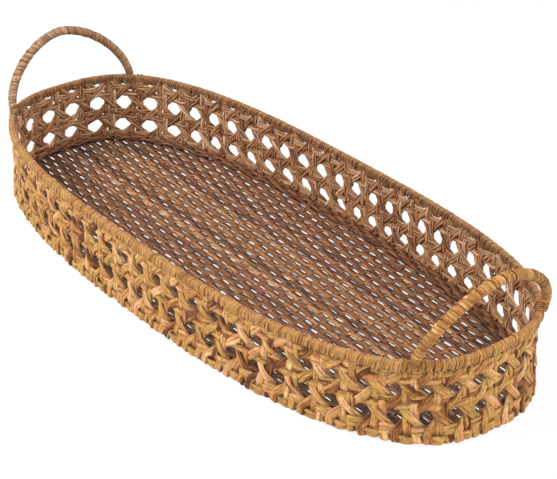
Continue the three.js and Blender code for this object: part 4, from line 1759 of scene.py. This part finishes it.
    def bindings(self) -> list[Strand]:
        """Strips wound round the rim on both sides of each foot.

        Returns:
            One strand for each binding.
        """
        strands = []
        base_turn = 0.0 if self.end is End.RIGHT else 0.5
        for foot_turn in (-self.foot_turn, self.foot_turn):
            for place in self.binding_places:
                turn = base_turn + foot_turn + place / self.rim.plan.perimeter
                width = self.work.pick(*self.binding_range)
                strands.append(self.rim.loop(turn, width, self.binding_slant * place, self.binding_lift))
        return strands

    def build(self, sweep: StrandSweep) -> None:
        """Makes the rod, the winding and the bindings of the feet.

        Args:
            sweep: tree that sweeps the strips.
        """
        side = self.end.name.lower()
        finish = HANDLE_FINISHES[self.end].material()
        wall = 2 * self.strip_thickness
        rod = Section(2 * self.half_thickness - wall, 2 * self.half_width - wall, CORE_CORNERS, finish)
        seat(sweep.piece(f"handle_core_{side}", [self.rod()], rod), [f"handle_rod_{side}"])
        strip = Section(self.strip_width, self.strip_thickness, self.corners, finish)
        winding = sweep.piece(f"handle_winding_{side}", self.winding(), strip)
        seat(winding, [f"handle_wrap_{side}"])
        narrow = Section(self.rim.strip_pitch, self.rim.strip_thickness, self.corners, finish)
        bindings = sweep.piece(f"handle_bindings_{side}", self.bindings(), narrow)
        seat(bindings, nodes_named(f"handle_strap_{side}"))


@dataclass(frozen=True)
class Lamp:
    """Soft square lamp that looks at the tray.

    Attributes:
        place: where it hangs, in metres.
        size: its side, in metres.
        power: its power, in watts.
    """

    name: str
    place: tuple[float, float, float]
    size: float
    power: float

    def hang(self) -> None:
        """Puts the lamp in its place."""
        data = bpy.data.lights.new(self.name, "AREA")
        data.shape = "SQUARE"
        data.size = self.size
        data.energy = self.power
        lamp = placed(self.name, data)
        lamp.location = self.place
        lamp.rotation_mode = "QUATERNION"
        lamp.rotation_quaternion = (-Vector(self.place)).to_track_quat("-Z", "Y")


@dataclass
class Studio:
    """White studio: floor, soft lamps and the camera at the photo's angle.

    Attributes:
        target_height: height over the ground, at the middle of the tray, that the camera is turned to.
        azimuth: how far round from the -Y side the camera stands.
        elevation: how far it looks down.
        distance: its distance from that point, in millimetres.
        focal_pixels: focal length in pixels.
        axis_pixel: pixel of the photo that shows the point that the camera is turned to.
        sensor: width of the camera's sensor, in millimetres.
        floor_glow: share of plain white in the floor where it is seen.
        ambient: strength of the surroundings' light on things.
    """

    target_height: float = 33.8
    azimuth: float = math.radians(52.36)
    elevation: float = math.radians(28.6)
    distance: float = 1460.0
    image_width: int = 557
    image_height: int = 479
    focal_pixels: float = 1685.3
    axis_pixel: Pair = (247.95, 231.03)
    sensor: float = 36.0
    floor_size: float = 60000.0
    floor_colour: tuple[float, ...] = (0.9, 0.9, 0.9, 1.0)
    floor_roughness: float = 0.9
    floor_glow: float = 0.86
    ambient: float = 0.5
    lamps: tuple[Lamp, ...] = (
        Lamp("key_lamp", (-0.8, -1.4, 1.6), size=0.9, power=44.0),
        Lamp("fill_lamp", (1.4, 0.6, 1.7), size=1.4, power=35.0),
    )

    def camera(self) -> None:
        """Places the camera and makes it the scene's own."""
        data = bpy.data.cameras.new("photo_camera")
        data.sensor_width = self.sensor
        data.lens = self.focal_pixels * self.sensor / self.image_width
        data.shift_x = (self.image_width / 2 - self.axis_pixel[0]) / self.image_width
        data.shift_y = (self.axis_pixel[1] - self.image_height / 2) / self.image_width
        data.clip_end = self.floor_size * MM
        level = math.cos(self.elevation)
        x, y = math.sin(self.azimuth) * level, -math.cos(self.azimuth) * level
        back = Vector((x, y, math.sin(self.elevation)))
        camera = placed("photo_camera", data)
        camera.location = Vector((0, 0, self.target_height * MM)) + back * self.distance * MM
        camera.rotation_mode = "QUATERNION"
        camera.rotation_quaternion = (-back).to_track_quat("-Z", "Y")
        bpy.context.scene.camera = camera

    def _seen(self, bench: Bench) -> Socket:
        """Socket that tells what is seen from light that falls on things.

        Args:
            bench: bench of the tree.

        Returns:
            Socket that is 1 for what is seen directly or in a reflection, and else 0.
        """
        path = bench.add("ShaderNodeLightPath").outputs
        seen = bench.math("MAXIMUM", path["Is Camera Ray"], path["Is Glossy Ray"])
        return bench.math("MAXIMUM", seen, path["Is Transmission Ray"])

    def world(self) -> None:
        """White surroundings, at full strength only where they are seen."""
        world = bpy.data.worlds.new("white_room")
        world.use_nodes = True
        bench = Bench(world.node_tree)
        sky = world.node_tree.nodes["Background"]
        strength = bench.math("MULTIPLY_ADD", self._seen(bench), 1 - self.ambient, self.ambient)
        bench.join(strength, sky.inputs["Strength"])
        sky.inputs["Color"].default_value = (1, 1, 1, 1)
        bpy.context.scene.world = world

    def floor(self) -> None:
        """Pale floor that keeps a faint shadow."""
        mesh = bpy.data.meshes.new("floor")
        half = self.floor_size * MM / 2
        corners = [(-half, -half, 0), (half, -half, 0), (half, half, 0), (-half, half, 0)]
        mesh.from_pydata(corners, [], [(0, 1, 2, 3)])
        floor = placed("floor", mesh)
        material, bench, paint = blank_material("pale_floor")
        paint.inputs["Base Color"].default_value = self.floor_colour
        paint.inputs["Roughness"].default_value = self.floor_roughness
        glow = bench.add("ShaderNodeEmission")
        mix = bench.add("ShaderNodeMixShader")
        bench.join(bench.math("MULTIPLY", self._seen(bench), self.floor_glow), mix.inputs[0])
        bench.join(paint.outputs[0], mix.inputs[1])
        bench.join(glow.outputs[0], mix.inputs[2])
        bench.join(mix.outputs[0], material.node_tree.nodes["Material Output"].inputs["Surface"])
        mesh.materials.append(material)

    def build(self) -> None:
        """Sets the whole studio."""
        bpy.context.scene.view_settings.view_transform = "Standard"
        self.world()
        self.floor()
        for lamp in self.lamps:
            lamp.hang()
        self.camera()


def dress_hoop() -> None:
    """Gives the hoop under the base, which stays from the CAD, its own finish."""
    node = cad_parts["base_hoop"]
    node.data.materials.clear()
    node.data.materials.append(ROD_FINISH.material())
    LOG.info("base_hoop keeps its shape")


def main() -> None:
    """Builds the tray's pieces in order and sets the studio."""
    logging.basicConfig(level=logging.INFO, format="%(name)s: %(message)s")
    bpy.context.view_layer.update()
    wrap_low, wrap_high = corner_mm("rim_wrap_01")
    hoop_low, hoop_high = corner_mm("rim_hoop")
    rod_high = corner_mm("handle_rod_right")[1]
    plan = OvalPlan(half_length=wrap_high[0], half_width=wrap_high[1], rim_top=wrap_high[2])
    rim = WrappedRim(
        plan,
        bottom=wrap_low[2] + RIM_RAISED,
        top=wrap_high[2],
        depth=wrap_high[0] - hoop_high[0] + RIM_INSET,
        half_width=RIM_HALF_WIDTH,
    )
    sweep = StrandSweep()
    CaneWall(plan, top=(hoop_low[2] + hoop_high[2]) / 2).build(sweep)
    WovenBase(plan, hoop_top=corner_mm("base_hoop")[1][2]).build(sweep)
    rim.build(sweep)
    for end in End:
        ArchHandle(
            end,
            foot_half=rod_high[1] - FEET_CLOSER,
            rise=(rod_high[2] - wrap_high[2] - ARCH_LOWER) / math.cos(ArchHandle.lean),
            rim=rim,
            sunk=FOOT_DROPS[end],
            foot_depth=FOOT_INSETS[end],
        ).build(sweep)
    dress_hoop()
    Studio().build()


if __name__ == "__main__":
    main()
